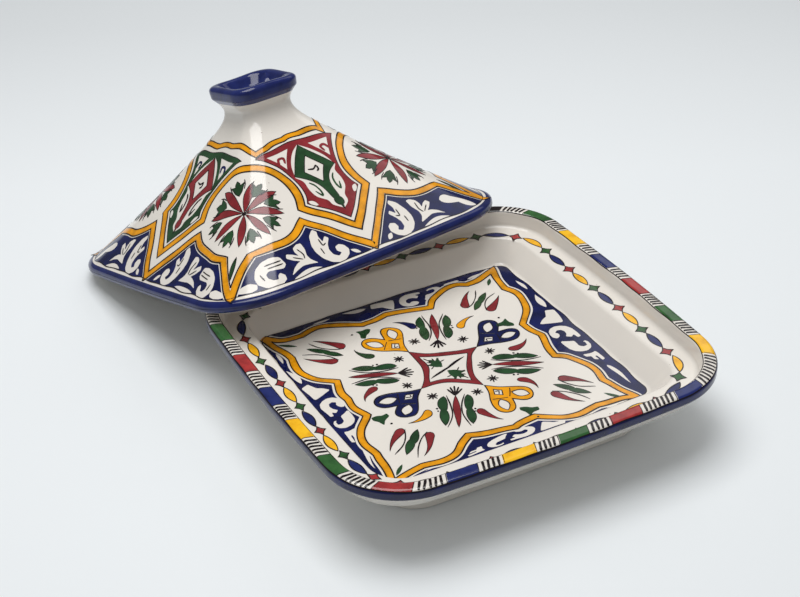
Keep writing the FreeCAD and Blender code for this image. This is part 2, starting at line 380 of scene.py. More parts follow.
class Shader:
    """A material's nodes, each added by one call."""

    def __init__(self, name):
        self.material = bpy.data.materials.new(name)
        self.material.use_nodes = True
        self.tree = self.material.node_tree
        self.surface = self.tree.nodes["Principled BSDF"]

    def node(self, kind, output=0, settings=None, **inputs):
        """Adds any node, with its settings and its inputs by name."""
        node = self.tree.nodes.new(kind)
        for key, value in (settings or {}).items():
            setattr(node, key, value)
        for key, value in inputs.items():
            plug(self.tree, node.inputs[key.replace("_", " ")], value)
        return Socket(self.tree, node.outputs[output])

    def noise(self, scale, detail=2.0, roughness=0.5):
        """Noise in the piece's own coordinates, with a scale per metre."""
        place = self.node("ShaderNodeTexCoord", "Object")
        return self.node("ShaderNodeTexNoise", "Fac", Vector=place, Scale=scale, Detail=detail,
                         Roughness=roughness)

    def mix(self, share, first, second):
        """A colour between two others."""
        node = self.tree.nodes.new("ShaderNodeMix")
        node.data_type = "RGBA"
        node.clamp_factor = True
        for entry, value in ((0, share), (6, first), (7, second)):
            plug(self.tree, node.inputs[entry], value)
        return Socket(self.tree, node.outputs[2])

    def set(self, **inputs):
        """Inputs of the surface shader by name."""
        for key, value in inputs.items():
            plug(self.tree, self.surface.inputs[key.replace("_", " ")], value)


def shade(rgb, factor):
    """A colour made darker or paler by a factor, with full alpha."""
    return tuple(min(1.0, channel * factor) for channel in rgb) + (1.0,)


def glaze_finish(shader):
    """What every glaze shares: a faint wave in the gloss and small changes of roughness."""
    wave, peel = shader.noise(scale=28.0, detail=1.0), shader.noise(scale=260.0)
    peel_share, glossiest, roughness_range = 0.06, 0.07, 0.06
    height = wave + peel * peel_share
    normal = shader.node("ShaderNodeBump", "Normal", Strength=0.25, Distance=0.0012, Height=height)
    roughness = glossiest + shader.noise(scale=90.0, detail=3.0) * roughness_range
    shader.set(Normal=normal, Roughness=roughness, IOR=1.52)


def ground_glaze(name, rgb):
    """The warm white glaze, with faint pooling and a few iron specks."""
    shader = Shader(name)
    pool_depth, speck_size, speck_rarity, speck_strength = 0.9, 0.06, 0.62, 0.55
    iron = (0.22, 0.15, 0.1)
    pools = shader.noise(scale=22.0, detail=3.0)
    pooled = shader.mix(pools, shade(rgb, 1.0), shade(rgb, pool_depth))
    specks = shader.node("ShaderNodeTexVoronoi", "Distance",
                         Vector=shader.node("ShaderNodeTexCoord", "Object"), Scale=130.0)
    rare = shader.noise(scale=45.0, detail=1.0) > speck_rarity
    spotted = (speck_size - specks > 0.0) * rare * speck_strength
    shader.set(Base_Color=shader.mix(spotted, pooled, shade(iron, 1.0)))
    glaze_finish(shader)
    return shader.material


BRUSH_MARKS = ("across", "tone", "wash")    # what each point of a brush stroke knows of it


def brush_glaze(name, rgb, thinned, deep, pale):
    """A brushed colour, denser at a stroke's edges, uneven along it and thinned by its wash."""
    shader = Shader(name)
    across, tone, wash = (shader.node("ShaderNodeAttribute", "Fac", {"attribute_name": mark})
                          for mark in BRUSH_MARKS)
    edge_part, tone_part, cloud_part, level = 0.5, 0.3, 3.0, 1.42
    streak_contrast, streak_strength = 3.2, 0.75
    wash_strength, wash_held = 1.05, 0.8
    cloud = shader.noise(scale=120.0, detail=4.0, roughness=0.6)
    dense = across * across * edge_part + tone * tone_part + cloud * cloud_part - level
    thin = shader.noise(scale=70.0) * streak_contrast - streak_contrast / 2
    body = shader.mix(dense, shade(rgb, 1.0), shade(rgb, deep))
    streaked = shader.mix(thin * streak_strength, body, shade(rgb, pale))
    washed = wash * (wash_strength - dense * wash_held)
    shader.set(Base_Color=shader.mix(washed, streaked, shade(thinned, 1.0)))
    glaze_finish(shader)
    return shader.material


# How much darker and paler each brushed colour gets.
DEPTHS = {"blue": (0.5, 2.2), "yellow": (0.6, 1.12), "red": (0.6, 1.6), "green": (0.55, 1.7),
          "dark": (0.7, 1.3)}


def glaze(key):
    """The glaze of that colour, made once."""
    name = "brushed_" + key
    found = bpy.data.materials.get(name)
    if found:
        return found
    colours = bpy.context.scene.tagine_colours
    rgb = tuple(getattr(colours, key))
    if key == "white":
        return ground_glaze(name, rgb)
    return brush_glaze(name, rgb, tuple(getattr(colours, "rim_" + key, rgb)), *DEPTHS[key])


def spline(points, step=1.0):
    """A smooth line through points."""
    points = np.array(points, float)
    if len(points) == 2:
        count = max(2, int(np.hypot(*(points[1] - points[0])) / step) + 1)
        share = np.linspace(0, 1, count)[:, None]
        return points[0] + (points[1] - points[0]) * share
    padded = np.vstack([2 * points[0] - points[1], points, 2 * points[-1] - points[-2]])
    line = []
    for a, b, c, d in zip(padded, padded[1:], padded[2:], padded[3:]):
        count = max(2, int(np.hypot(*(c - b)) / step) + 1)
        t = np.linspace(0, 1, count, endpoint=False)[:, None]
        line.append(0.5 * (2 * b + (c - a) * t + (2 * a - 5 * b + 4 * c - d) * t ** 2
                           + (3 * b - a - 3 * c + d) * t ** 3))
    return np.vstack(line + [points[-1:]])


def path(*sections, step=1.0):
    """Smooth sections joined end to end, with a sharp corner at each joint."""
    lines = [spline(section, step) for section in sections]
    return np.vstack([line[:-1] for line in lines[:-1]] + [lines[-1]])


def closed_path(*runs):
    """A closed line of smooth runs, each of which goes on from the end of the one before it."""
    starts = [run[-1] for run in (runs[-1], *runs[:-1])]
    return path(*[[start, *run] for start, run in zip(starts, runs)])[:-1]


def straight_sides(points, step=1.0):
    """A closed line with straight sides and points close enough together to be bent."""
    return path(*zip(points, np.roll(points, -1, 0)), step=step)[:-1]


def turned(points, degrees_round):
    """Points turned about the middle."""
    angle = math.radians(degrees_round)
    turn = np.array([[math.cos(angle), math.sin(angle)], [-math.sin(angle), math.cos(angle)]])
    return np.array(points, float) @ turn


def arm(reach, angle):
    """The end of an arm of some reach that points along an angle in degrees."""
    return turned([(reach, 0)], angle)[0]


def mirrored(points):
    """Points mirrored left to right."""
    return np.array(points, float) * (-1, 1)


def returned(run):
    """A run mirrored left to right and taken backwards."""
    return [(-x, y) for x, y in reversed(run)]


def leaf(start, end, width, bend=0.0, belly=0.5, count=14):
    """A closed leaf between two points, widest at belly and bent sideways."""
    start, end = np.array(start, float), np.array(end, float)
    along = end - start
    side = np.array([-along[1], along[0]]) / np.hypot(*along)
    t = np.linspace(0, 1, count)[:, None]
    shaped = t ** (math.log(0.5) / math.log(belly))
    half = width / 2 * np.sin(np.pi * shaped) ** 0.8
    middle = start + along * t + side * bend * 4 * t * (1 - t)
    return np.vstack([middle + side * half, (middle - side * half)[-2:0:-1]])


def comma(head, tail, width, bend, count=22):
    """A closed drop with a round head and a thin tail that curls to one side."""
    head, tail = np.array(head, float), np.array(tail, float)
    along = tail - head
    size = np.hypot(*along)
    side = np.array([-along[1], along[0]]) / size
    head, along = head - along * width / 2 / size, along * (1 + width / 2 / size)
    t = np.linspace(0, 1, count)[:, None] ** 1.3
    cap = width / np.hypot(*along) * 0.6
    swell = np.sqrt(np.clip(1 - (1 - t / cap) ** 2, 0, 1))
    taper = np.clip((1 - t) / (1 - cap), 0, 1) ** 1.15
    half = width / 2 * np.where(t < cap, swell, taper)
    middle = head + along * t + side * bend * 4 * t ** 1.5 * (1 - t)
    return np.vstack([middle + side * half, (middle - side * half)[-2:0:-1]])


def disc(centre, radius, count=16):
    """A closed round spot."""
    angle = np.linspace(0, 2 * np.pi, count, endpoint=False)
    return np.array(centre, float) + radius * np.column_stack([np.cos(angle), np.sin(angle)])


def inside(points, polygon):
    """Which points lie inside a closed polygon."""
    x, y = points[:, :1], points[:, 1:]
    x0, y0 = polygon[:, 0], polygon[:, 1]
    x1, y1 = np.roll(x0, -1), np.roll(y0, -1)
    crosses = (y0 > y) != (y1 > y)
    rise = np.where(y1 == y0, 1e-12, y1 - y0)
    return (crosses & (x < (x1 - x0) * (y - y0) / rise + x0)).sum(1) % 2 == 1


def within(points, polygons):
    """Which points lie inside any of the polygons."""
    found = np.zeros(len(points), bool)
    for polygon in polygons:
        low, high = polygon.min(0), polygon.max(0)
        near = ((points >= low) & (points <= high)).all(1)
        found[near] |= inside(points[near], polygon)
    return found


class Surface:
    """A painted surface, with places, normals and offsets from two coordinates in millimetres."""

    def point(self, uv):
        raise NotImplementedError

    def slopes(self, uv):
        small = 0.05
        along = (self.point(uv + (small, 0)) - self.point(uv - (small, 0))) / (2 * small)
        across = (self.point(uv + (0, small)) - self.point(uv - (0, small))) / (2 * small)
        return along, across

    def normal(self, uv):
        along, across = self.slopes(uv)
        normal = np.cross(along, across)
        normal /= np.linalg.norm(normal, axis=1)[:, None]
        return normal * np.sign(normal[:, 2:])

    def sides(self, line, closed):
        """The change of coordinates for a millimetre to the left of a line, mitred at corners."""
        place = self.point(line)
        along, across = self.slopes(line)
        normal = self.normal(line)
        ahead = np.roll(place, -1, 0) - place
        if not closed:
            ahead[-1] = ahead[-2]
        ahead /= np.maximum(np.linalg.norm(ahead, axis=1), 1e-9)[:, None]
        behind = np.roll(ahead, 1, 0)
        if not closed:
            behind[0] = ahead[0]
        middle = ahead + behind
        middle /= np.maximum(np.linalg.norm(middle, axis=1), 1e-9)[:, None]
        side = np.cross(normal, middle)
        square = np.cross(normal, ahead)
        mitre = 1 / np.clip((side * square).sum(1), 0.5, 1)
        side *= mitre[:, None]
        aa, ab, bb = (along * along).sum(1), (along * across).sum(1), (across * across).sum(1)
        sa, sb = (side * along).sum(1), (side * across).sum(1)
        det = aa * bb - ab * ab
        return np.column_stack([(sa * bb - sb * ab) / det, (sb * aa - sa * ab) / det])

    def offset(self, line, distance, closed=False):
        """The line moved to its left, and which of its points aren't folded over in a corner."""
        moved = line + self.sides(line, closed) * np.reshape(distance, (-1, 1))
        apart = self.point(moved)[:, None] - self.point(line)[None]
        nearest = np.sqrt((apart ** 2).sum(2).min(1))
        unfolded = 0.97
        return moved, nearest > unfolded * np.abs(distance)


class FloorSurface(Surface):
    """The flat floor of the dish, in x and y."""

    def __init__(self, s):
        self.height = s.floor_top

    def point(self, uv):
        return np.column_stack([uv, np.full(len(uv), self.height)])


class RingSurface(Surface):
    """A ring of the dish: the way round in millimetres and the half-size of the outline."""

    def __init__(self, half, corner, bow, profile):
        self.half, self.corner, self.bow, self.profile = half, corner, bow, profile
        start = 2 - SIDE_SHARE
        self.turns = np.linspace(start, start + 4, 4001)
        line = outline(half, corner, bow, self.turns)
        steps = np.hypot(*np.diff(line, axis=0).T)
        self.ways = np.concatenate([[0], np.cumsum(steps)])
        self.length = self.ways[-1]

    def point(self, uv):
        turns = np.interp(uv[:, 0] % self.length, self.ways, self.turns)
        flat = outline(uv[:, 1], self.corner + uv[:, 1] - self.half, self.bow, turns)
        return np.column_stack([flat, self.profile(uv[:, 1])])


NECK_HOLLOW = 1.9   # how far the slope is drawn in, in millimetres, just below the neck
NECK_SPAN = 0.07    # share of the slope's run at which it is drawn in the most


def lid_section(s, left):
    """Half width and corner radius of the lid where a share of the slope's run is left."""
    near = left / NECK_SPAN
    hollow = NECK_HOLLOW * near * np.exp(1 - near)
    half = s.neck_half + (s.slope_half - s.neck_half) * left - hollow
    return half, s.neck_corner + (s.slope_corner - s.neck_corner) * left


class LidSurface(Surface):
    """The slope of the lid, in the lid's own x and y."""

    def __init__(self, s):
        self.s = s
        self.matrix = lid_matrix(s)

    def height(self, uv):
        s = self.s
        far = np.abs(uv).max(1)
        near = np.abs(uv).min(1)
        low, high = np.zeros(len(uv)), np.ones(len(uv))
        for _ in range(36):
            share = (low + high) / 2
            half, corner = lid_section(s, share)
            side, offset, centre = bowed(half, corner, s.lid_bow)
            on_side = np.arctan2(near, far + offset) < np.arctan2(centre, centre + offset)
            beyond = np.where(on_side, np.hypot(far + offset, near) - side,
                              np.hypot(far - centre, near - centre) - corner)
            low = np.where(beyond > 0, share, low)
            high = np.where(beyond > 0, high, share)
        return s.lip_height + s.lid_rise * (1 - share ** (1 / s.lid_sweep))

    def point(self, uv):
        local = np.column_stack([uv, self.height(uv), np.ones(len(uv))])
        return (local @ self.matrix.T)[:, :3]


def wander(uv):
    """Lets a painted line wander a little, as one drawn by hand does."""
    x, y = uv[:, 0], uv[:, 1]
    slow, quick = 0.34, 0.26
    right = slow * np.sin(0.113 * x + 0.171 * y + 1.3) + quick * np.sin(0.271 * y - 0.134 * x + 4.1)
    up = slow * np.sin(0.127 * x - 0.159 * y + 2.2) + quick * np.sin(0.243 * x + 0.117 * y + 0.7)
    return uv + np.column_stack([right, up])


# In millimetres: how far each colour stands on the ground glaze, how much higher each of five
# strokes in turn is than the one before it, and how far a film reaches into the ground glaze.
LIFTS = {"blue": 0.06, "red": 0.09, "green": 0.12, "yellow": 0.15, "dark": 0.19}
STAGGER = 0.005
SUNK = 0.15
TONE_STEP = 0.618   # from the tone of one stroke to that of the next, where 1 is 0 again
TAPER = 5           # a stroke has its full width after one part in this many of its length


class Paint:
    """Painted shapes on one surface, gathered as thin films, one for each colour."""

    def __init__(self, prefix, body, surface, hand=wander, wash=0.0):
        self.prefix, self.body, self.surface = prefix, body, surface
        self.hand, self.wash = hand, wash
        self.films = {}
        self.count = 0

    def add(self, key, uv, faces, across):
        """Puts triangles or quads of one shape into the film of a colour."""
        film = self.films.setdefault(key, {"points": [], "normals": [], "faces": [], "across": [],
                                           "tone": [], "wash": [], "used": 0})
        moved = self.hand(uv)
        place, normal = self.surface.point(moved), self.surface.normal(moved)
        faces = np.array(faces)
        first, second, third = (place[faces[:, number]] for number in range(3))
        facing = (np.cross(second - first, third - first) * normal[faces[:, 0]]).sum(1)
        faces[facing < 0] = faces[facing < 0, ::-1]
        self.count += 1
        film["points"].append(place + normal * (LIFTS[key] + STAGGER * (self.count % 5)))
        film["normals"].append(normal)
        film["faces"] += (faces + film["used"]).tolist()
        film["across"].append(across)
        film["tone"].append(np.full(len(uv), self.count * TONE_STEP % 1))
        film["wash"].append(np.full(len(uv), self.wash))
        film["used"] += len(uv)

    def stroke(self, key, line, width, closed=False, ends=(1.0, 1.0)):
        """A brush line of a width, which may narrow towards its ends."""
        line = np.array(line, float)
        count = len(line)
        share = np.linspace(0, 1, count)
        slow, quick = np.sin(share * 9 + self.count), np.sin(share * 23 + 2 * self.count)
        press = 1 + 0.08 * slow + 0.05 * quick
        press *= (np.minimum(1, ends[0] + share * TAPER)
                  * np.minimum(1, ends[1] + (1 - share) * TAPER))
        half = width / 2 * press
        uv = np.vstack([self.edge(line, -half, closed), line, self.edge(line, half, closed)])
        last = count if closed else count - 1
        faces = [(row * count + number, row * count + (number + 1) % count,
                  (row + 1) * count + (number + 1) % count, (row + 1) * count + number)
                 for row in range(2) for number in range(last)]
        across = np.concatenate([np.ones(count), np.zeros(count), np.ones(count)])
        self.add(key, uv, faces, across)

    def edge(self, line, distance, closed):
        """One side of a stroke, drawn together where a corner would fold it over."""
        moved, good = self.surface.offset(line, distance, closed)
        if good.all() or not good.any():
            return moved
        numbers, kept = np.arange(len(line)), np.flatnonzero(good)
        after = kept[np.searchsorted(kept, numbers) % len(kept)]
        before = kept[np.searchsorted(kept, numbers, side="right") - 1]
        return np.where(good[:, None], moved, (moved[before] + moved[after]) / 2)

    def fill(self, key, shapes, holes=(), grid=2.4):
        """A flat of colour inside any of the shapes and outside all the holes."""
        outlines = [np.array(shape, float) for shape in [*shapes, *holes]]
        shapes, holes = outlines[:len(shapes)], outlines[len(shapes):]
        points = np.vstack(outlines)
        edges, used = [], 0
        for one in outlines:
            edges += [(used + number, used + (number + 1) % len(one)) for number in range(len(one))]
            used += len(one)
        low, high = points.min(0), points.max(0)
        xs, ys = np.arange(low[0], high[0], grid), np.arange(low[1], high[1], grid)
        inner = np.array([(x + (row % 2) * grid / 2, y) for row, y in enumerate(ys) for x in xs])
        inner = inner.reshape(-1, 2)
        inner = inner[within(inner, shapes) & ~within(inner, holes)]
        every = [Vector(point) for point in np.vstack([points, inner])]
        found, _, faces, *_ = delaunay_2d_cdt(every, edges, [], 0, 1e-4, False)
        uv = np.array([tuple(point) for point in found])
        faces = np.array(faces)
        middles = uv[faces].mean(1)
        corners = uv[faces]
        a, b = corners[:, 1] - corners[:, 0], corners[:, 2] - corners[:, 0]
        area = np.abs(a[:, 0] * b[:, 1] - a[:, 1] * b[:, 0])
        kept = faces[within(middles, shapes) & ~within(middles, holes) & (area > 1e-6)]
        numbers, kept = np.unique(kept, return_inverse=True)
        self.add(key, uv[numbers], kept.reshape(-1, 3), np.zeros(len(numbers)))

    def outlined(self, key, shape, width):
        """A flat of colour with a dark line round it."""
        self.fill(key, [shape])
        self.stroke("dark", shape, width, closed=True)

    def finish(self):
        """One closed film for each colour, riding on the body."""
        for key, film in self.films.items():
            name = "%s_%s" % (self.prefix, key)
            mesh = bpy.data.meshes.new(name)
            mesh.from_pydata((np.vstack(film["points"]) * MM).tolist(), [], film["faces"])
            for mark in BRUSH_MARKS:
                layer = mesh.attributes.new(mark, "FLOAT", "POINT")
                layer.data.foreach_set("value", np.concatenate(film[mark]).astype(np.float32))
            piece = bpy.data.objects.new(name, mesh)
            bpy.context.scene.collection.objects.link(piece)
            deselect()
            piece.select_set(True)
            bpy.context.view_layer.objects.active = piece
            bpy.ops.object.modifier_add(type="SOLIDIFY")
            piece.modifiers[-1].thickness = (LIFTS[key] + SUNK) * MM
            piece.modifiers[-1].offset = -1.0
            bpy.ops.object.modifier_apply(modifier=piece.modifiers[-1].name)
            bpy.ops.object.shade_smooth()
            normals = np.vstack(film["normals"])
            both_sides = np.vstack([normals, -normals]).tolist()
            piece.data.normals_split_custom_set_from_vertices(both_sides)
            piece.data.materials.append(glaze(key))
            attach(piece, self.body)


def settle(piece, body, node):
    """A finished base rides on its body and stands for its solid."""
    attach(piece, body)
    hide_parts(node)


class TAGINE_OT_dish(bpy.types.Operator):
    """The glazed dish: collar, rim, gallery, ledge, well and floor"""

    bl_idname = "tagine.dish"
    bl_label = "Dish"

    def execute(self, context):
        s = sizes()
        shoulder = s.rim_half - s.shoulder_inset
        middle_half = s.floor_half - 20
        rows = [
            (s.base_half, s.foot_height, s.base_corner, s.well_bow, 0),
            (shoulder, s.rim_top - s.collar_height, s.rim_corner - s.shoulder_inset, s.rim_bow, 3),
            (s.rim_half, s.rim_top - s.rim_band, s.rim_corner, s.rim_bow, 2.5),
            (s.rim_half, s.rim_top, s.rim_corner, s.rim_bow, RIM_OUTER_ROUND),
            (s.rim_inner_half, s.rim_top, s.rim_corner - s.rim_width, s.rim_bow, RIM_INNER_ROUND),
            (s.gallery_half, s.ledge_top, s.gallery_corner, s.rim_bow, 3.5),
            (s.ledge_half, s.ledge_top, s.ledge_corner, s.well_bow, 3.4),
            (s.floor_half, s.floor_top, s.well_corner, s.well_bow, 3),
            (middle_half, s.floor_top, s.well_corner, s.well_bow, 0),
        ]
        turns = ring_turns(10, 20)
        piece = glaze_base("dish_glaze", rounded(rows), turns)
        roll_depth, roll_width = 6.8, 0.8
        line = outline(s.rim_half - roll_width, s.rim_corner - roll_width, s.rim_bow, turns)
        cobalt_roll(piece, s.rim_top - roll_depth, line)
        self.move_well(piece, s)
        settle(piece, "dish", "dish")
        return {"FINISHED"}

    def move_well(self, piece, s):
        """Draws the floor out to the left, so that the left wall is the steeper one."""
        hair = 0.01
        for vertex in piece.data.vertices:
            x, y, z = vertex.co / MM
            if max(abs(x), abs(y)) < s.ledge_half and z > s.floor_top - hair:
                deep = (s.ledge_top - z) / (s.ledge_top - s.floor_top)
                vertex.co.x -= s.well_aside * MM * deep * max(0, -x) / s.floor_half


class TAGINE_OT_foot(bpy.types.Operator):
    """The glazed ring under the dish"""

    bl_idname = "tagine.foot"
    bl_label = "Foot ring"

    def execute(self, context):
        s = sizes()
        top, top_corner = s.base_half - s.foot_inset, s.base_corner - s.foot_inset
        foot, corner = top - s.foot_taper, top_corner - s.foot_taper
        rows = [
            (top, s.foot_height, top_corner, s.well_bow, 0),
            (foot, 0, corner, s.well_bow, 1.8),
            (foot - s.foot_width, 0, corner - s.foot_width, s.well_bow, 1.8),
            (foot - s.foot_width, s.foot_height, corner - s.foot_width, s.well_bow, 0),
        ]
        piece = glaze_base("foot_glaze", rounded(rows), ring_turns(10, 20), closed=True)
        settle(piece, "dish", "foot_ring")
        return {"FINISHED"}


def slope_row(s, share, inset=0.0):
    """A level of the lid at a share of its rise, drawn in by an inset."""
    half, corner = lid_section(s, (1 - share) ** s.lid_sweep)
    kept = corner * (half - inset) / half
    return (half - inset, s.lip_height + s.lid_rise * share, kept, s.lid_bow, 0)


class TAGINE_OT_lid(bpy.types.Operator):
    """The glazed lid: hollow, lip and four curved faces"""

    bl_idname = "tagine.lid"
    bl_label = "Lid"

    def execute(self, context):
        s = sizes()
        mouth = slope_row(s, 0, s.lid_wall)
        rows = [slope_row(s, s.lid_crown * share, s.lid_wall) for share in np.linspace(1, 0, 14)]
        rows += [
            (mouth[0], 0, mouth[2], s.lid_bow, 2),
            (s.lip_half, 0, s.lid_corner, s.lid_bow, LIP_ROUND),
            (s.lip_half, s.lip_height, s.lid_corner, s.lid_bow, LIP_ROUND),
            (s.slope_half, s.lip_height, s.slope_corner, s.lid_bow, 0.6),
        ]
        rows += [slope_row(s, share) for share in np.linspace(0.03, 1, 34)]
        turns = ring_turns(10, 24)
        piece = glaze_base("lid_glaze", rounded(rows), turns)
        lip_bottom, lip_start = 0.9, 1.2
        line = outline(s.slope_half + lip_start, s.slope_corner + lip_start, s.lid_bow, turns)
        cobalt_roll(piece, lip_bottom, line)
        thin_glaze(piece, 0.4)
        move_lid_piece(piece, s)
        settle(piece, "lid", "lid_shell")
        return {"FINISHED"}


def move_lid_piece(piece, s):
    """Moves a mesh from the lid's own axes to where the lid leans."""
    matrix = Matrix(lid_matrix(s).tolist())
    matrix.translation *= MM
    piece.data.transform(matrix)


class TAGINE_OT_knob(bpy.types.Operator):
    """The flared knob with its cobalt roll and cup"""

    bl_idname = "tagine.knob"
    bl_label = "Knob"

    def execute(self, context):
        s = sizes()
        under = s.neck_top + s.knob_flare
        top = under + s.knob_roll
        round_by, undercut, flare_power = 3.2, 3.4, 1.6
        flare, flare_corner = s.knob_half - undercut, s.knob_corner - undercut / 2
        bowl_corner = s.knob_corner - s.bowl_wall / 2
        cup = s.knob_half - s.bowl_wall - s.bowl_draft
        rows = [(s.neck_half + (flare - s.neck_half) * share ** flare_power,
                 s.neck_top + s.knob_flare * share,
                 s.neck_corner + (flare_corner - s.neck_corner) * share, s.lid_bow, 0)
                for share in np.linspace(0, 1, 8)]
        rows += [
            (s.knob_half - 0.5, under + undercut, s.knob_corner, s.lid_bow, 2.6),
            (s.knob_half, top, s.knob_corner, s.lid_bow, round_by),
            (s.knob_half - s.bowl_wall, top, bowl_corner, s.lid_bow, round_by),
            (cup, top - s.bowl_depth, bowl_corner, s.lid_bow, 3),
        ]
        rows += [(cup * share, top - s.bowl_depth, bowl_corner * share, s.lid_bow, 0)
                 for share in (0.78, 0.68, 0.58, 0.48, 0.38, 0.26, 0.1)]
        piece = glaze_base("knob_glaze", rounded(rows), ring_turns(8, 20))
        cobalt_roll(piece, under + 0.05)
        self.thumb_marks(piece, cup, top)
        thin_glaze(piece, 0.6)
        move_lid_piece(piece, s)
        settle(piece, "lid", "knob")
        return {"FINISHED"}

    def thumb_marks(self, piece, cup, top):
        """Two soft lumps left in the cup and a roll that isn't quite even."""
        lumps = (-9.8, 3.5), (14.2, 6.4)
        lump_height, lump_spread = 4.4, 16
        reach, roll_bottom = cup * 1.2, top - 3
        for vertex in piece.data.vertices:
            x, y, z = vertex.co / MM
            if max(abs(x), abs(y)) < reach:
                for across, back in lumps:
                    near = math.exp(-((x - across) ** 2 + (y - back) ** 2) / lump_spread)
                    vertex.co.z += lump_height * MM * near
            if z > roll_bottom:
                angle = math.atan2(y, x)
                vertex.co.z += MM * (0.7 + 0.35 * math.sin(3 * angle) + 0.2 * math.sin(2 * angle))


def edge(paint, key, shapes, width):
    """A line round the outside of shapes that overlap each other."""
    for number, shape in enumerate(shapes):
        line = straight_sides(shape, 1.2)
        others = [other for index, other in enumerate(shapes) if index != number]
        hidden = within(line, others)
        if not hidden.any():
            paint.stroke(key, line, width, closed=True)
            continue
        start = int(np.argmax(hidden))
        line, hidden = np.roll(line, -start, 0), np.roll(hidden, -start)
        ends = np.flatnonzero(np.diff(np.concatenate([[1], hidden.astype(int), [1]])))
        for first, last in zip(ends[::2], ends[1::2]):
            if last - first > 2:
                paint.stroke(key, line[first:last], width)


def band(paint, line, width, edge_width=1.0):
    """A yellow band with a dark line along each edge."""
    paint.stroke("yellow", line, width, closed=True)
    for side in (-1, 1):
        moved, good = paint.surface.offset(line, side * (width + edge_width) / 2, closed=True)
        paint.stroke("dark", moved[good], edge_width, closed=True)


def sprig(centre, angle, size):
    """A leaf of three lobes, its middle one along an angle in degrees."""
    half = [[(-0.62, 0), (-0.3, 0.3), (0.05, 0.44), (0.46, 0.62)],
            [(0.46, 0.62), (0.36, 0.4), (0.3, 0.22)], [(0.3, 0.22), (0.52, 0.2), (0.8, 0)]]
    other = [[(x, -y) for x, y in reversed(run)] for run in reversed(half)]
    return turned(path(*half, *other, step=0.12)[:-1] * size, angle) + centre


def club(centre, angle, size):
    """A full leaf with three blunt points."""
    points = [(0.95, 0.05), (0.3, 0.3), (-0.2, 0.92), (-0.68, 0.8), (-0.5, 0.25),
              (-0.62, -0.3), (-0.5, -0.88), (-0.05, -0.8), (0.3, -0.32)]
    return turned(smooth_ring(points, 0.2) * size, angle) + centre


def asterisk(paint, centre, size):
    """Four thin strokes that cross."""
    for number in range(4):
        longer = number % 2
        reach = arm(size * (0.85 + 0.15 * longer), 12 + 45 * number + centre[0])
        paint.stroke("dark", spline([centre - reach, centre + reach]), 1.0, ends=(0.4, 0.4))


def laid_along(start, end):
    """How far two points are apart, and what lays a shape drawn along x from one to the other."""
    along = np.subtract(end, start)
    angle = math.degrees(math.atan2(along[1], along[0]))
    return np.hypot(*along), lambda shape: turned(shape, angle) + start


class TAGINE_OT_rim_paint(bpy.types.Operator):
    """Blocks of colour and slanted strokes round the rim"""

    bl_idname = "tagine.rim_paint"
    bl_label = "Rim paint"

    def execute(self, context):
        s = sizes()
        opening = (math.pi / 2 + math.atan2(s.gallery_draft, s.gallery_depth)) / 2
        inner_end = s.rim_inner_half + RIM_INNER_ROUND / math.tan(opening)

        def drop(past, radius):
            past = np.clip(past, 0, radius)
            return radius - np.sqrt(radius ** 2 - past ** 2)

        def height(half):
            outer = drop(half - (s.rim_half - RIM_OUTER_ROUND), RIM_OUTER_ROUND)
            return s.rim_top - outer - drop(inner_end - half, RIM_INNER_ROUND)

        inset, lean, block_half, spacing = 5.2, 1.3, 10.2, 3.6
        ring = RingSurface(s.rim_half - inset, s.rim_corner - inset, s.rim_bow, height)
        paint = Paint("rim", "dish", ring, lambda uv: uv, wash=0.9)
        inner_margin, outer_margin = 0.5, 0.8
        low, high = s.rim_inner_half + inner_margin, s.rim_half - outer_margin
        blocks = (10, 49, 89, 126, 166, 207, 247, 283, 319, 355, 401, 453,
                  492, 529, 566, 602, 640, 678, 714, 750, 786, 822, 858, 893)
        # Painted shade: one block near the back right corner gets the dark line colour instead of
        # its turn in the order.
        shade_painted_block, order = 17, ("green", "red", "blue", "yellow")
        following = (*blocks[1:], blocks[0] + ring.length)
        for number, centre in enumerate(blocks):
            reach = block_half + 0.6 * math.sin(3 * number)
            key = "dark" if number == shade_painted_block else order[number % 4]
            corners = [(centre - reach + lean, low), (centre + reach + lean, low),
                       (centre + reach - lean, high), (centre - reach - lean, high)]
            paint.fill(key, [straight_sides(corners, 0.6)], grid=0.8)
            start, end = centre + reach, following[number] - block_half
            count = round((end - start) / spacing)
            for place in np.linspace(start, end, count + 2)[1:-1]:
                tilt = lean + 0.25 * math.sin(5 * place)
                line = [(place + tilt, low + 0.5), (place - tilt, high - 0.3)]
                paint.stroke("dark", spline(line), 1.55, ends=(0.8, 0.7))
            for way in (start, end):
                paint.stroke("dark", spline([(way + lean, low), (way - lean, high)]), 0.5)
        for half, width in ((low - 0.15, 0.6), (high + 0.1, 0.7)):
            ways = np.linspace(0, ring.length, 700, endpoint=False)
            wave = 0.12 * np.sin(ways * 0.21) + 0.1 * np.sin(ways * 0.083 + 1)
            paint.stroke("dark", np.column_stack([ways, half + wave]), width, closed=True)
        paint.finish()
        return {"FINISHED"}


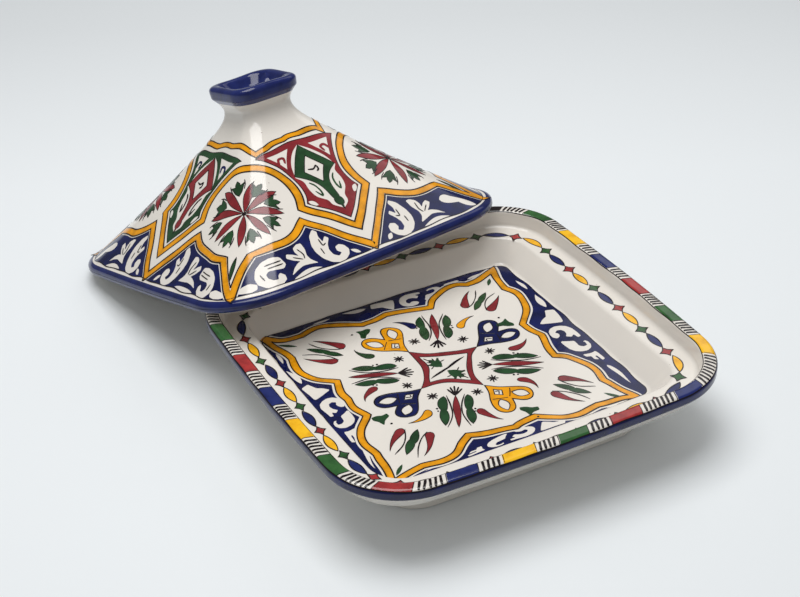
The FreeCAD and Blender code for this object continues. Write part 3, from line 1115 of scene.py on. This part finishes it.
class TAGINE_OT_ledge_paint(bpy.types.Operator):
    """A string of lozenges and lenses round the ledge"""

    bl_idname = "tagine.ledge_paint"
    bl_label = "Ledge paint"

    def execute(self, context):
        s = sizes()
        middle, corner = s.gallery_half - 8.6, 37.0
        ring = RingSurface(middle, corner, s.rim_bow, lambda half: np.full(len(half), s.ledge_top))
        paint = Paint("ledge", "dish", ring, lambda uv: uv, wash=0.6)
        front = float(np.interp(2.5, ring.turns, ring.ways))
        lozenge_half, hollow_half, lens_half, lens_width = 4.6, 1.9, 8.8, 5.2

        def sway(way):
            return middle + 0.5 * math.sin(0.07 * way) + 0.35 * math.sin(0.19 * way + 2)

        for side, first, spacing, share in ((1, 7.2, 14.14, 0.75), (-1, 8.6, 13.9, 0.25)):
            for number in range(int((ring.length * share - first) / spacing) + 1):
                way = front + side * (first + spacing * number)
                key = ("red", "blue", "green", "yellow")[number % 4]
                near_side = front < way < front + ring.length / 4 - 8
                centre = np.array([way, sway(way) + 1.7 * near_side])
                if key in ("red", "green"):
                    high = 3.0 if near_side else 4.5 if side > 0 else 3.4
                    corners = [(-lozenge_half, 0), (0, -high), (lozenge_half, 0), (0, high)]
                    hollow = [(x * hollow_half, y * high * 0.4)
                              for x, y in ((-1, -1), (1, -1), (1, 1), (-1, 1))]
                    runs = zip(corners, hollow, corners[1:] + corners[:1])
                    shape = path(*runs, step=1.2)[:-1] + centre
                else:
                    shape = leaf(centre - (lens_half, 0), centre + (lens_half, 0), lens_width,
                                 bend=0.4 * math.sin(way))
                paint.outlined(key, shape, 0.7)
        paint.finish()
        return {"FINISHED"}


class TAGINE_OT_floor_paint(bpy.types.Operator):
    """The flower garden on the floor, in its scalloped yellow frame"""

    bl_idname = "tagine.floor_paint"
    bl_label = "Floor paint"

    def execute(self, context):
        s = sizes()
        paint = Paint("floor", "dish", FloorSurface(s))
        frame_line = self.frame_line()
        band(paint, frame_line, 3.8, 0.85)
        self.lunettes(paint, frame_line, s)
        self.middle(paint)
        self.loops(paint)
        for base, tip in (((4.4, 30), (15.6, 57)), ((-36, 8.7), (-64, 20)),
                          ((-17, -31), (-30.6, -60)), ((20.6, -13.7), (48.7, -27.5))):
            self.butterfly(paint, base, tip)
        for spot in ((-10, 34), (18, 20.5), (-28.5, 21.5), (-37.5, -6), (-29.4, -24.4),
                     (-3.7, -34.5), (12.5, -27), (26.5, 0.6)):
            asterisk(paint, np.array(spot, float), 3.9)
        for inner, outer in (((-56, 44.5), (-73.5, 61)), ((43, 46.5), (59, 62.5)),
                             ((-53.7, -49), (-70.5, -68)), ((41, -51.5), (56.5, -70))):
            self.spray(paint, inner, outer)
        self.drops(paint)
        paint.finish()
        return {"FINISHED"}

    def frame_line(self):
        """The frame's middle line, in smooth runs between its points and notches."""
        top = [[(-83.5, 79.6), (-70, 78)], [(-61, 80.4), (-53.7, 80.6), (-41, 76), (-30, 69)],
               [(-21, 69.6), (-11, 71.8)], [(5, 69), (18.5, 64.6)],
               [(25, 72.5), (36, 79), (46, 80.4), (53.7, 77.5)], [(65, 79), (79, 85.5)]]
        right = [[(75, 72.5), (73.4, 60)], [(77, 51), (76.4, 41), (71, 29), (61, 16.5)],
                 [(62, 7.5), (64, 0)], [(61.2, -12.5), (59, -25)],
                 [(66, -31), (70.6, -42.5), (72.5, -52.5), (70.8, -62.5)],
                 [(73.7, -74), (77.5, -87.6)]]
        bottom = [[(69, -84.4), (53, -82.6)], [(40, -85.4), (30, -83.5), (22.5, -79), (14, -74)],
                  [(3, -75), (-2, -76.8)], [(-17.5, -73.5), (-30, -69.6)],
                  [(-37.5, -75), (-46, -81.5), (-56, -84), (-67.5, -81.8)],
                  [(-76, -83), (-90.4, -87.6)]]
        left = [[(-86.6, -72), (-85.6, -58.7)], [(-87.5, -46), (-82.5, -33), (-73.5, -21.5)],
                [(-76, -11), (-75.4, -1)], [(-76, 7.5), (-73, 19.5)],
                [(-81, 26), (-86.4, 35), (-88.4, 42.5), (-86.6, 57)], [(-88.5, 68), (-93.4, 88)]]
        return closed_path(*top, *right, *bottom, *left)

    def lunettes(self, paint, frame_line, s):
        """Cobalt between the frame and the wall, with white scrolls left in it."""
        reach = s.floor_half - 1.6
        border = outline(reach, s.well_corner, s.well_bow, ring_turns(16, 8))
        border[:, 0] -= s.well_aside * np.clip(-border[:, 0] / s.floor_half, 0, 1)
        inner, good = paint.surface.offset(frame_line, 4.1, closed=True)
        holes = [inner[good]]
        drawn = 19.2
        for turn, start, along in ((0, 69.5, 0), (90, 73.5, -7), (180, 79.5, -3), (270, 79.5, 4)):
            on_left = turn == 180
            far = reach + s.well_aside * on_left
            way = -1 if on_left else 1
            for shape in self.reserves():
                moved = shape[::way] * ((far - start) / drawn, way) + (start, along)
                holes.append(turned(moved, turn))
        paint.fill("blue", [border], holes)
        paint.stroke("dark", straight_sides(border, 1.5), 0.6, closed=True)

    def reserves(self):
        """White scrolls for one side, from its middle, with x across the blue and y along it."""
        flag = [(17.5, 21.5), (16.7, 15.8), (15, 5.4), (9, 7.3), (1.1, 10.5), (5.2, 14.2),
                (8.8, 16.4), (10.2, 19.6), (11.7, 23.3)]
        hook = [(15.2, -14.6), (15.8, -9), (16, -4.2), (14.2, 0), (11, 2.5), (7.1, 3.8),
                (3.3, 3.1), (0.6, 0.8), (-0.7, -2.7), (-0.6, -6.5), (1.3, -8.8), (3.4, -8.2),
                (4.8, -6.4), (5.1, -4.6), (3.7, -2.4), (6, -1), (8.7, -1.9), (10, -4.6),
                (9.3, -7.7), (7.1, -10.1), (9.8, -12.4), (12.3, -10.8), (12.7, -14.8)]
        curl = [(12.9, -20), (14.8, -19.8), (16, -21.9), (16, -25), (14.4, -28.1), (11, -29.8),
                (7.1, -29.2), (4, -27.3), (1.7, -23.8), (0.9, -18.8), (0.8, -14.1), (2.1, -13.5),
                (4.8, -15.2), (8.5, -16.9), (8.7, -22.8), (11, -24.8), (13.7, -24.5), (13.9, -21.2)]
        comb = [(14.4, -32.7), (15, -43.5), (12.5, -44.5), (12, -37.9), (10.8, -37.9), (11, -42.8),
                (8.4, -41), (8.7, -36.9), (6, -35.8), (5.7, -32.5), (11, -33.5)]
        shapes = [leaf((15, 65), (15.5, 51.5), 2.6), leaf((17, 43), (14.8, 26), 4.6, -0.6, 0.6),
                  leaf((11.5, -50.5), (14, -74), 2.8, 0.4, 0.3)]
        return shapes + [smooth_ring(points) for points in (flag, hook, curl, comb)]

    def middle(self, paint):
        """The hollow-sided red lozenge and the sprigs inside it."""
        outer = closed_path([(-9, 18.2), (0, 14.2), (9.5, 11), (22, 8.8)],
                            [(14, 2.6), (8, -7.8), (4.8, -18), (3.5, -29.6)],
                            [(-4, -22.2), (-13, -16.8), (-22, -14.2), (-31.2, -13.6)],
                            [(-24, -5), (-20.4, 5), (-19.2, 15), (-19, 25.8)])
        inner = closed_path([(-1.6, 10.2), (13.4, 6)], [(4.2, -7.6), (0.7, -20.8)],
                            [(-11, -13.2), (-23, -10.8)], [(-16.6, 3.4), (-15.8, 18)])
        paint.fill("red", [outer], [inner])
        for line in (outer, inner):
            paint.stroke("dark", line, 0.45, closed=True)
        for place, angle in (((-10.4, 5.6), 112), ((-4.6, -9.6), -62)):
            centre = np.array(place)
            paint.fill("green", [sprig(centre, angle, 8.8)])
            paint.fill("green", [club(centre - arm(1.6, angle), angle + 60, 3.8)])
            for lean in (-105, -62, -24, 24, 62, 105):
                reach = arm(5.6, angle + lean)
                side = centre + reach * 0.62
                paint.stroke("dark", spline([side, side + reach * 0.55]), 0.75, ends=(0.5, 0.3))
        paint.fill("dark", [leaf((-20.5, -8), (-3, -1), 1.7),
                            leaf((-10, -4.4), (9.4, 3.4), 1.8, 0.4)])
        for start, end in (((-14.6, 15), (-12.4, 8.4)), ((0.2, -18), (-2.4, -12.6))):
            paint.stroke("dark", spline([start, end]), 0.7, ends=(0.4, 0.4))

    def loops(self, paint):
        """Pairs of loops at the points of the lozenge."""
        notch = (21.5, 0)
        half = [(0, 0), (7, 4.2), (13, 9.4), (18.5, 13.4), (23.5, 14.9), (28.3, 12.8), (30.6, 8.6),
                (28.6, 4.2)]
        heart = path([*half, notch], [notch, *[(x, -y) for x, y in reversed(half)]])[:-1]
        holes = [leaf((16.6, side * 5.2), (27.4, side * 10.4), 6.6) for side in (-1, 1)]
        holes.append(straight_sides([(14.6, -0.4), (11, 3.2), (6.8, 0.2), (10.8, -3.2)]))
        bars = [spline([(18.6, side * 0.8), (13.4, side * 8)]) for side in (-1, 1)]
        mark = spline([(12.4, -1.2), (10.2, 1.2), (9, -0.6)])
        for start, angle, key in (((-18.8, 26), 109, "yellow"), ((3.8, -30.6), -69, "yellow"),
                                  ((22.4, 8.9), 23, "blue"), ((-31.6, -13.7), -159, "blue")):
            placed = [turned(shape, angle) + start for shape in (heart, *holes, *bars, mark)]
            paint.fill(key, placed[:1], placed[1:4])
            paint.stroke("dark", placed[0], 0.75, closed=True)
            for hole in placed[1:4]:
                paint.stroke("dark", hole, 0.6, closed=True)
            for line in placed[4:]:
                paint.stroke("dark", line, 0.65)

    def butterfly(self, paint, base, tip):
        """A red spindle between thin lines and lobed green leaves, with a tuft at its foot."""
        size, put = laid_along(base, tip)
        paint.outlined("red", put(leaf((-1, 0), (size, 0), 4.6)), 0.4)
        for side in (-1, 1):
            line = [(-1.5, side * 5.6), (8, side * 3.4), (size * 0.6, side * 3.4),
                    (size * 0.98, side * 7)]
            paint.stroke("dark", put(spline(line)), 0.9, ends=(0.4, 0.3))
            leaves = [put(leaf((-0.5, side * 7.4), (17.5, side * 7.0), 5.9, side * 0.7, 0.42)),
                      put(leaf((9, side * 7.0), (size * 0.92, side * 8.4), 5.6, side * 0.7, 0.56))]
            paint.fill("green", leaves)
            edge(paint, "dark", leaves, 0.4)
            for x, y, radius in ((13, 11.6, 0.75), (15.5, 11.3, 0.6)):
                paint.fill("dark", [put(disc((x + side, side * y), radius, 8))])
        root = (-1.2, 0)
        for lean in (-38, -19, 0, 19, 38):
            reach = arm(-9.4 + abs(lean) * 0.04, lean)
            paint.stroke("dark", put(spline([root, reach + root])), 1.2, ends=(0.7, 0.4))

    def spray(self, paint, inner, outer):
        """A green spindle between two thin arcs and two red drops, towards a corner."""
        size, put = laid_along(inner, outer)
        lobes = [put(leaf((0, 0.9), (size * 0.64, 0.3), 4.8)),
                 put(leaf((size * 0.3, -0.5), (size, -0.6), 4.8))]
        paint.fill("green", lobes)
        edge(paint, "dark", lobes, 0.4)
        for side in (-1, 1):
            line = [(1, side * 6.6), (size * 0.35, side * 4.4), (size * 0.7, side * 4.4),
                    (size * 1.05, side * 7)]
            paint.stroke("dark", put(spline(line)), 0.8, ends=(0.3, 0.3))
            drop = comma((size * 0.16, side * 8.8), (size * 0.96, side * 10.4), 6.0, side * 1.5)
            paint.outlined("red", put(drop), 0.4)

    def drops(self, paint):
        """Curled drops, small trefoils and the strokes in the frame's points."""
        for key, head, tail, bend in (
                ("blue", (-2.6, 50.5), (-11, 61.5), -2.2), ("yellow", (25.5, 35.2), (38, 41), 2.4),
                ("red", (41, -4.4), (53.5, 0.5), -2.6), ("red", (27.5, -36.8), (31.5, -50), 2.8),
                ("red", (-10.5, -52.5), (-4, -66), -2.2), ("yellow", (-40, -37.5), (-55, -42), 2.6),
                ("red", (-57, 0.2), (-66.6, -8.8), -3.0), ("green", (-42, 34.5), (-47.5, 45), 3.0)):
            paint.outlined(key, comma(head, tail, 5.8, bend), 0.55 if key == "yellow" else 0.35)
        for centre, angle in (((-34, 60), 130), ((52, 23.5), 60),
                              ((14.5, -67), -120), ((-67.5, -29), -100)):
            paint.fill("green", [club(np.array(centre, float), angle, 6.4)])
            paint.fill("dark", [disc(np.array(centre) + turned([(6.5, 4.5)], angle)[0], 0.8, 8)])
        for start, end in (((-87, 75.5), (-77.5, 67.5)), ((65, 69), (71, 76)),
                           ((-85, -82), (-77, -74)), ((62.5, -74.5), (70.5, -84))):
            paint.fill("green", [leaf(start, end, 2.6)])


def smooth_ring(points, step=0.9):
    """A closed outline through points, with its corners softened as a brush leaves them."""
    points = np.array(points, float)
    cut, rest = 0.14, 0.86
    softer = np.vstack([[one * rest + other * cut, one * cut + other * rest]
                        for one, other in zip(points, np.roll(points, -1, 0))])
    return straight_sides(softer, step)


def drift(uv):
    """Lets the painting on the lid drift along its faces, as the brush did."""
    front_drift, left_drift = 1.8, 3.4
    corner, corner_drift, corner_spread = -91, 3.22, 420
    swing = np.cos(2 * np.arctan2(uv[:, 1], uv[:, 0]))
    right = front_drift * np.clip(-swing, 0, 1) * (uv[:, 1] < 0)
    up = left_drift * np.clip(swing, 0, 1) * (uv[:, 0] < 0)
    slip = corner_drift * np.exp(-((uv - corner) ** 2).sum(1) / corner_spread)
    return wander(uv) + np.column_stack([right - slip, up + slip])


class TAGINE_OT_lid_paint(bpy.types.Operator):
    """Star medallions, lozenges and cobalt panels in yellow bands on the lid"""

    bl_idname = "tagine.lid_paint"
    bl_label = "Lid paint"

    def execute(self, context):
        s = sizes()
        paint = Paint("lid", "lid", LidSurface(s), drift)
        upper = self.round_lid(
            [(-26, -73)],
            [(-23.2, -67), (-22.4, -60.5), (-23.7, -54.5), (-27.4, -48.3), (-32.8, -42.6),
             (-37.6, -37.6), (-42.6, -32.8), (-48.3, -27.4), (-54.5, -23.7), (-60.5, -22.4),
             (-67, -23.2), (-73, -26)],
            [(-95.5, 0)])
        lower = self.round_lid(
            [(-32.2, -80.8)],
            [(-41.5, -85.6), (-51, -88.2), (-60, -88.6), (-67, -87.8), (-73.6, -86)],
            [(-100.6, -100.6)], [(-86, -73.6)],
            [(-87.8, -67), (-88.6, -60), (-88.2, -51), (-85.6, -41.5), (-80.8, -32.2)],
            [(-110.6, 0)])
        collar = closed_path(
            [(22.3, -32.3)], [(13.3, -32.3), (6, -32.6)], [(-2, -32.6), (-7, -33.4)],
            [(-15, -32.9), (-21, -34), (-28, -34.6)], [(-29.8, -28.3), (-30.8, -21), (-31.6, -13)],
            [(-31.4, -6), (-32.6, 3)], [(-31.9, 12), (-32.3, 20)], [(-28.6, 26)], [(-20, 32)],
            [(-8, 32.6), (6, 32.2)], [(18, 32.6), (28, 28)], [(32.6, 18), (32.2, 4)],
            [(32.4, -8), (29, -21)], [(25, -34)])
        for line in (upper, lower):
            band(paint, line, 4.3)
        band(paint, collar, 3.0, 0.8)
        self.panels(paint, lower, s)
        for number in range(4):
            self.medallion(paint, 90 * number)
            ground, figure = (("red", "green"), ("green", "red"))[number % 2]
            self.lozenge(paint, 90 * number, ground, figure)
        paint.finish()
        return {"FINISHED"}

    def round_lid(self, *runs):
        """A closed line round the lid from the runs over one ridge."""
        return closed_path(*[turned(run, -90 * number) for number in range(4) for run in runs])

    def panels(self, paint, lower, s):
        """Cobalt between the lower band and the lip, with white scrolls left in it."""
        inset, turns = 1.2, ring_turns(30, 24)
        border = outline(s.slope_half - inset, s.slope_corner - inset, s.lid_bow, turns)
        inner, good = paint.surface.offset(lower, 3.9, closed=True)
        holes = [inner[good]]
        fuller = (1.05, 1.08)
        for number in range(4):
            for flip in (False, True):
                shapes, accents = self.scrolls(flip != (number % 2 == 1))
                for shape in shapes:
                    middle = (shape.min(0) + shape.max(0)) / 2
                    shape = middle + (shape - middle) * fuller
                    holes.append(turned(mirrored(shape) if flip else shape, 90 * number))
                for line in accents:
                    line = spline(mirrored(line) if flip else line)
                    paint.stroke("dark", turned(line, 90 * number), 0.8, ends=(0.4, 0.4))
        paint.fill("blue", [border], holes)
        paint.stroke("dark", straight_sides(border, 1.5), 0.6, closed=True)

    def scrolls(self, leafy):
        """White scrolls for half a panel, on the left of the front face, and the lines in them."""
        palm = [(-62, -107.4), (-58, -104.2), (-54, -102.6), (-51.4, -102.2), (-54.5, -100.4),
                (-57.4, -97.8), (-55.6, -95.7), (-52.4, -97), (-49.6, -99), (-50.2, -96.4),
                (-49.4, -93.8), (-46.2, -92.2), (-43.2, -92.4), (-43.4, -96.5), (-45.2, -100.4),
                (-44.8, -103.4), (-41.6, -107), (-46, -106.2), (-52, -105.2), (-57, -105.9)]
        hook = [(-30.6, -88.6), (-35, -91.4), (-37.6, -96.5), (-37.8, -101), (-36, -105.7),
                (-32.6, -109.2), (-28.4, -110.8), (-23.6, -110.7), (-19.8, -108.8),
                (-17.8, -105.8), (-18.8, -102.8), (-21.4, -101.5), (-24.4, -102.4), (-25, -104.8),
                (-23.2, -106.4), (-25.8, -107.6), (-28.4, -105.8), (-28.9, -102.6), (-27.6, -99.8),
                (-24.6, -96.6), (-26.4, -94.8), (-29.6, -97.4), (-30.2, -93.6), (-28.8, -90.6)]
        curl = [(-61.2, -95.8), (-66.5, -94.4), (-72.5, -94.9), (-77.8, -97.4), (-81.4, -101.6),
                (-82.2, -105.4), (-79.6, -109.1), (-75.2, -110.7), (-70.3, -110.4),
                (-66.8, -108.4), (-66, -105.7), (-67.7, -104), (-69.6, -105.2), (-70.8, -107.2),
                (-73.4, -107), (-75.2, -105), (-74.8, -102.8), (-72.6, -101.6), (-68, -101.9),
                (-63.6, -102.2), (-60.8, -100.4)]
        drop = [(-95.4, -101.2), (-91, -100.2), (-86, -101.8), (-82.9, -105), (-85, -107.2),
                (-89, -106.6), (-93, -104)]
        shapes = [smooth_ring(palm), smooth_ring(hook),
                  leaf((-62.5, -110.6), (-41.5, -110.8), 2.4, 0.9),
                  leaf((-16.8, -107.2), (-11.8, -110.6), 2.4)]
        accents = [[(-47.4, -94.6), (-46.4, -99), (-47.6, -102)], [(-53.6, -98.6), (-48.8, -102)],
                   [(-31.4, -94.6), (-31, -99), (-28.4, -98.6)], [(-33.6, -100), (-33.4, -104)]]
        if leafy:
            shapes += [leaf((-66, -98.6), (-79, -103), 6.2, -1, 0.4),
                       leaf((-75, -97.8), (-88.5, -107), 5.4, 1, 0.6)]
        else:
            shapes += [smooth_ring(curl), smooth_ring(drop)]
            accents += [[(-72.6, -97.6), (-61.6, -97.4)], [(-72, -99.8), (-61.8, -99.4)],
                        [(-78, -101.4), (-77.8, -105.6)]]
        return shapes, accents

    def medallion(self, paint, turn):
        """A red star with green sprigs on a ridge."""
        middle = np.array([-59.6, -58.8])
        tips = [(-11.5, 22.5), (3.5, 24.5), (17, 12), (26, -0.3), (20.5, -14), (3.5, -22.5),
                (-15.5, -15.5), (-22, 5)]
        sprigs = [(-4.2, 21), (9.6, 17), (17, 6.2), (20.6, -6), (10.4, -16.4), (-6, -17.4),
                  (-18, -4.8), (-16, 14)]
        for tip in np.array(tips):
            petal = leaf(tip * 0.04, tip, 5.1, belly=0.56) + middle
            paint.outlined("red", turned(petal, turn), 0.45)
        for place in np.array(sprigs) * 0.9:
            angle = math.degrees(math.atan2(place[1], place[0]))
            paint.outlined("green", turned(sprig(place + middle, angle, 7.4), turn), 0.4)
            for side in (-1, 1):
                tick = turned([(-1, side * 3.8), (2.2, side * 4.8), (5.4, side * 4.9)], angle)
                line = spline(tick + place + middle)
                paint.stroke("dark", turned(line, turn), 0.65, ends=(0.5, 0.3))
        paint.fill("dark", [turned(disc(middle, 1.3, 10), turn)])
        paint.outlined("green", turned(leaf((-91.8, -90.2), (-79.6, -79.6), 2.8), turn), 0.45)

    def lozenge(self, paint, turn, ground, figure):
        """The panel in the middle of a face: a figure on a white field in a coloured ground."""
        def put(shape):
            return turned(shape, turn)

        def both(shape):
            return [put(shape), put(mirrored(shape))]

        left = [(-30.4, -37), (-25.4, -42.6), (-20.9, -48.6), (-18.5, -55), (-17.5, -61.5),
                (-18.2, -68), (-20.4, -72)]
        rim = path(left, [left[-1], (0, -89)], [(0, -89), (20.4, -72)], returned(left),
                   [(30.4, -37), (12, -36.1), (-12, -36.1), left[0]])[:-1]
        upper = [(0, -38.8), (7, -42.8), (12.4, -48.4), (16.2, -56.2)]
        lower = [(16.2, -56.2), (13.4, -59.6), (13.6, -65), (11.6, -70.4), (6.6, -75), (5.4, -79),
                 (0, -82.6)]
        field = path(upper, lower, returned(lower), returned(upper))[:-1]
        corner = closed_path([(-8, -39.2)], [(-13, -44.6), (-16.8, -50)],
                             [(-19.6, -45.2), (-24.2, -39.4)])
        oval = leaf((-19, -71.2), (-14, -75.6), 3)
        paint.fill(ground, [put(rim)], [put(field), *both(corner), *both(oval)], grid=2.0)
        paint.stroke("dark", put(rim), 0.55, closed=True)
        right = [[(0, -39.2), (7.4, -46.2), (16, -55.4)],
                 [(16, -55.4), (10, -58.8), (5.6, -62.8), (3.2, -67.6), (2.4, -74)],
                 [(2.4, -74), (0, -83.6)]]
        kite = path(*right, *[returned(run) for run in reversed(right)])[:-1]
        window = straight_sides([(0.4, -46), (8, -54.2), (0, -63.2), (-7.8, -54.4)])
        bulb = disc((0, -77.4), 3.0)
        paint.fill(figure, [put(kite), put(bulb)], [put(window)], grid=2.0)
        edge(paint, "dark", [put(kite), put(bulb)], 0.45)
        paint.stroke("dark", put(window), 0.5, closed=True)
        mark = [(-4.4, -53.6), (-0.6, -54.4), (2.4, -53.2), (2.6, -55.6), (0.8, -56.2)]
        paint.stroke("dark", put(spline(mark)), 1.2, ends=(0.4, 1))
        hook = np.array([(10.6, -61), (8, -63.6), (6.6, -68), (7.4, -71), (10.2, -67)])
        curl = np.array([(19.8, -45.6), (18, -42.8), (14.6, -43.2), (15.4, -46.4)])
        hook_key = "dark" if figure == "red" else figure
        curl_key = "blue" if ground == "green" else ground
        for side in (-1, 1):
            paint.stroke(hook_key, put(spline(hook * (side, 1))), 1.3, ends=(0.6, 0.4))
            paint.stroke(curl_key, put(spline(curl * (side, 1))), 1.9, ends=(1, 0.4))


class TAGINE_OT_stage(bpy.types.Operator):
    """A pale floor, soft light and the camera at the photographed angle"""

    bl_idname = "tagine.stage"
    bl_label = "Stage"

    def execute(self, context):
        self.floor()
        self.lights()
        self.camera()
        return {"FINISHED"}

    def floor(self):
        """A pale floor, with painted shade that darkens it a little behind the part."""
        deselect()
        bpy.ops.mesh.primitive_plane_add(size=12.0)
        floor = bpy.context.object
        floor.name = "studio_floor"
        shader = Shader("studio_floor")
        rgb = tuple(bpy.context.scene.tagine_colours.floor)
        place = shader.node("ShaderNodeTexCoord", "Object")
        right = shader.node("ShaderNodeSeparateXYZ", "X", Vector=place)
        back = shader.node("ShaderNodeSeparateXYZ", "Y", Vector=place)
        fall_start, fall_rate, grain, far_shade = 0.3, 3.2, 0.985, 0.9
        # Painted shade: the floor's colour gets darker towards the back and the right.
        shade_falloff = (right * 0.455 + back * 0.89 - fall_start) * fall_rate
        paper = shader.mix(shader.noise(scale=3.0), shade(rgb, 1.0), shade(rgb, grain))
        shader.set(Base_Color=shader.mix(shade_falloff, paper, shade(rgb, far_shade)), Roughness=0.55)
        floor.data.materials.append(shader.material)

    def lights(self):
        """A bright room and two soft lamps."""
        world = bpy.data.worlds.new("studio")
        bpy.context.scene.world = world
        world.use_nodes = True
        tree = world.node_tree
        back = tree.nodes["Background"]
        back.inputs["Color"].default_value = (0.93, 0.94, 0.95, 1)
        rays = tree.nodes.new("ShaderNodeLightPath")
        glossy = Socket(tree, rays.outputs["Is Glossy Ray"])
        seen = Socket(tree, rays.outputs["Is Camera Ray"])
        ambient, less_gloss, more_seen = 0.36, 0.2, 0.44
        plug(tree, back.inputs["Strength"], ambient - glossy * less_gloss + seen * more_seen)
        for name, place, size, energy in (
                ("key", (-0.08, 0.22, 1.35), 1.0, 14.4),
                ("fill", (1.1, 0.8, 1.3), 1.0, 2.6)):
            light = bpy.data.lights.new(name, "AREA")
            light.shape = "SQUARE"
            light.size = size
            light.energy = energy
            lamp = bpy.data.objects.new(name, light)
            bpy.context.scene.collection.objects.link(lamp)
            lamp.location = place
            lamp.rotation_euler = (-Vector(place)).to_track_quat("-Z", "Y").to_euler()

    def camera(self):
        """The camera, turned round its target by three angles in degrees."""
        azimuth, elevation, roll = (math.radians(angle) for angle in (-27.09, 32.28, -1.97))
        target = Vector((-11.18, 50.11, 50.0)) * MM
        distance = 1.0945
        back = Vector((math.sin(azimuth) * math.cos(elevation),
                       -math.cos(azimuth) * math.cos(elevation), math.sin(elevation)))
        right = Vector((math.cos(azimuth), math.sin(azimuth), 0))
        up = back.cross(right)
        tilted = right * math.cos(roll) + up * math.sin(roll)
        raised = up * math.cos(roll) - right * math.sin(roll)
        lens = bpy.data.cameras.new("camera")
        lens.sensor_width = 36.0
        lens.lens = 76.66
        camera = bpy.data.objects.new("camera", lens)
        bpy.context.scene.collection.objects.link(camera)
        turn = Matrix((tilted, raised, back)).transposed().to_4x4()
        camera.matrix_world = Matrix.Translation(target + back * distance) @ turn
        bpy.context.scene.camera = camera


class TAGINE_PT_panel(bpy.types.Panel):
    """The pieces of the tagine, in the order in which they are made"""

    bl_idname = "TAGINE_PT_panel"
    bl_label = "Tagine"
    bl_space_type = "VIEW_3D"
    bl_region_type = "UI"
    bl_category = "Tagine"

    def draw(self, context):
        for operator in OPERATORS:
            self.layout.operator(operator.bl_idname)
        for name in reversed(GROUPS):
            group = getattr(context.scene, name)
            for key in type(group).__annotations__:
                self.layout.prop(group, key)


OPERATORS = (TAGINE_OT_dish, TAGINE_OT_foot, TAGINE_OT_lid, TAGINE_OT_knob, TAGINE_OT_rim_paint,
             TAGINE_OT_ledge_paint, TAGINE_OT_floor_paint, TAGINE_OT_lid_paint, TAGINE_OT_stage)
GROUPS = {"tagine_sizes": TagineSizes, "tagine_shape": TagineShape, "tagine_colours": TagineColours}
CLASSES = (*GROUPS.values(), *OPERATORS, TAGINE_PT_panel)


def register():
    for one in CLASSES:
        bpy.utils.register_class(one)
    for name, group in GROUPS.items():
        setattr(bpy.types.Scene, name, PointerProperty(type=group))


def unregister():
    for name in GROUPS:
        delattr(bpy.types.Scene, name)
    for one in reversed(CLASSES):
        bpy.utils.unregister_class(one)


def main():
    """Makes every piece and the stage."""
    register()
    for operator in OPERATORS:
        group, name = operator.bl_idname.split(".")
        getattr(getattr(bpy.ops, group), name)()
    bpy.context.scene.view_settings.view_transform = "Standard"


if __name__ == "__main__":
    main()
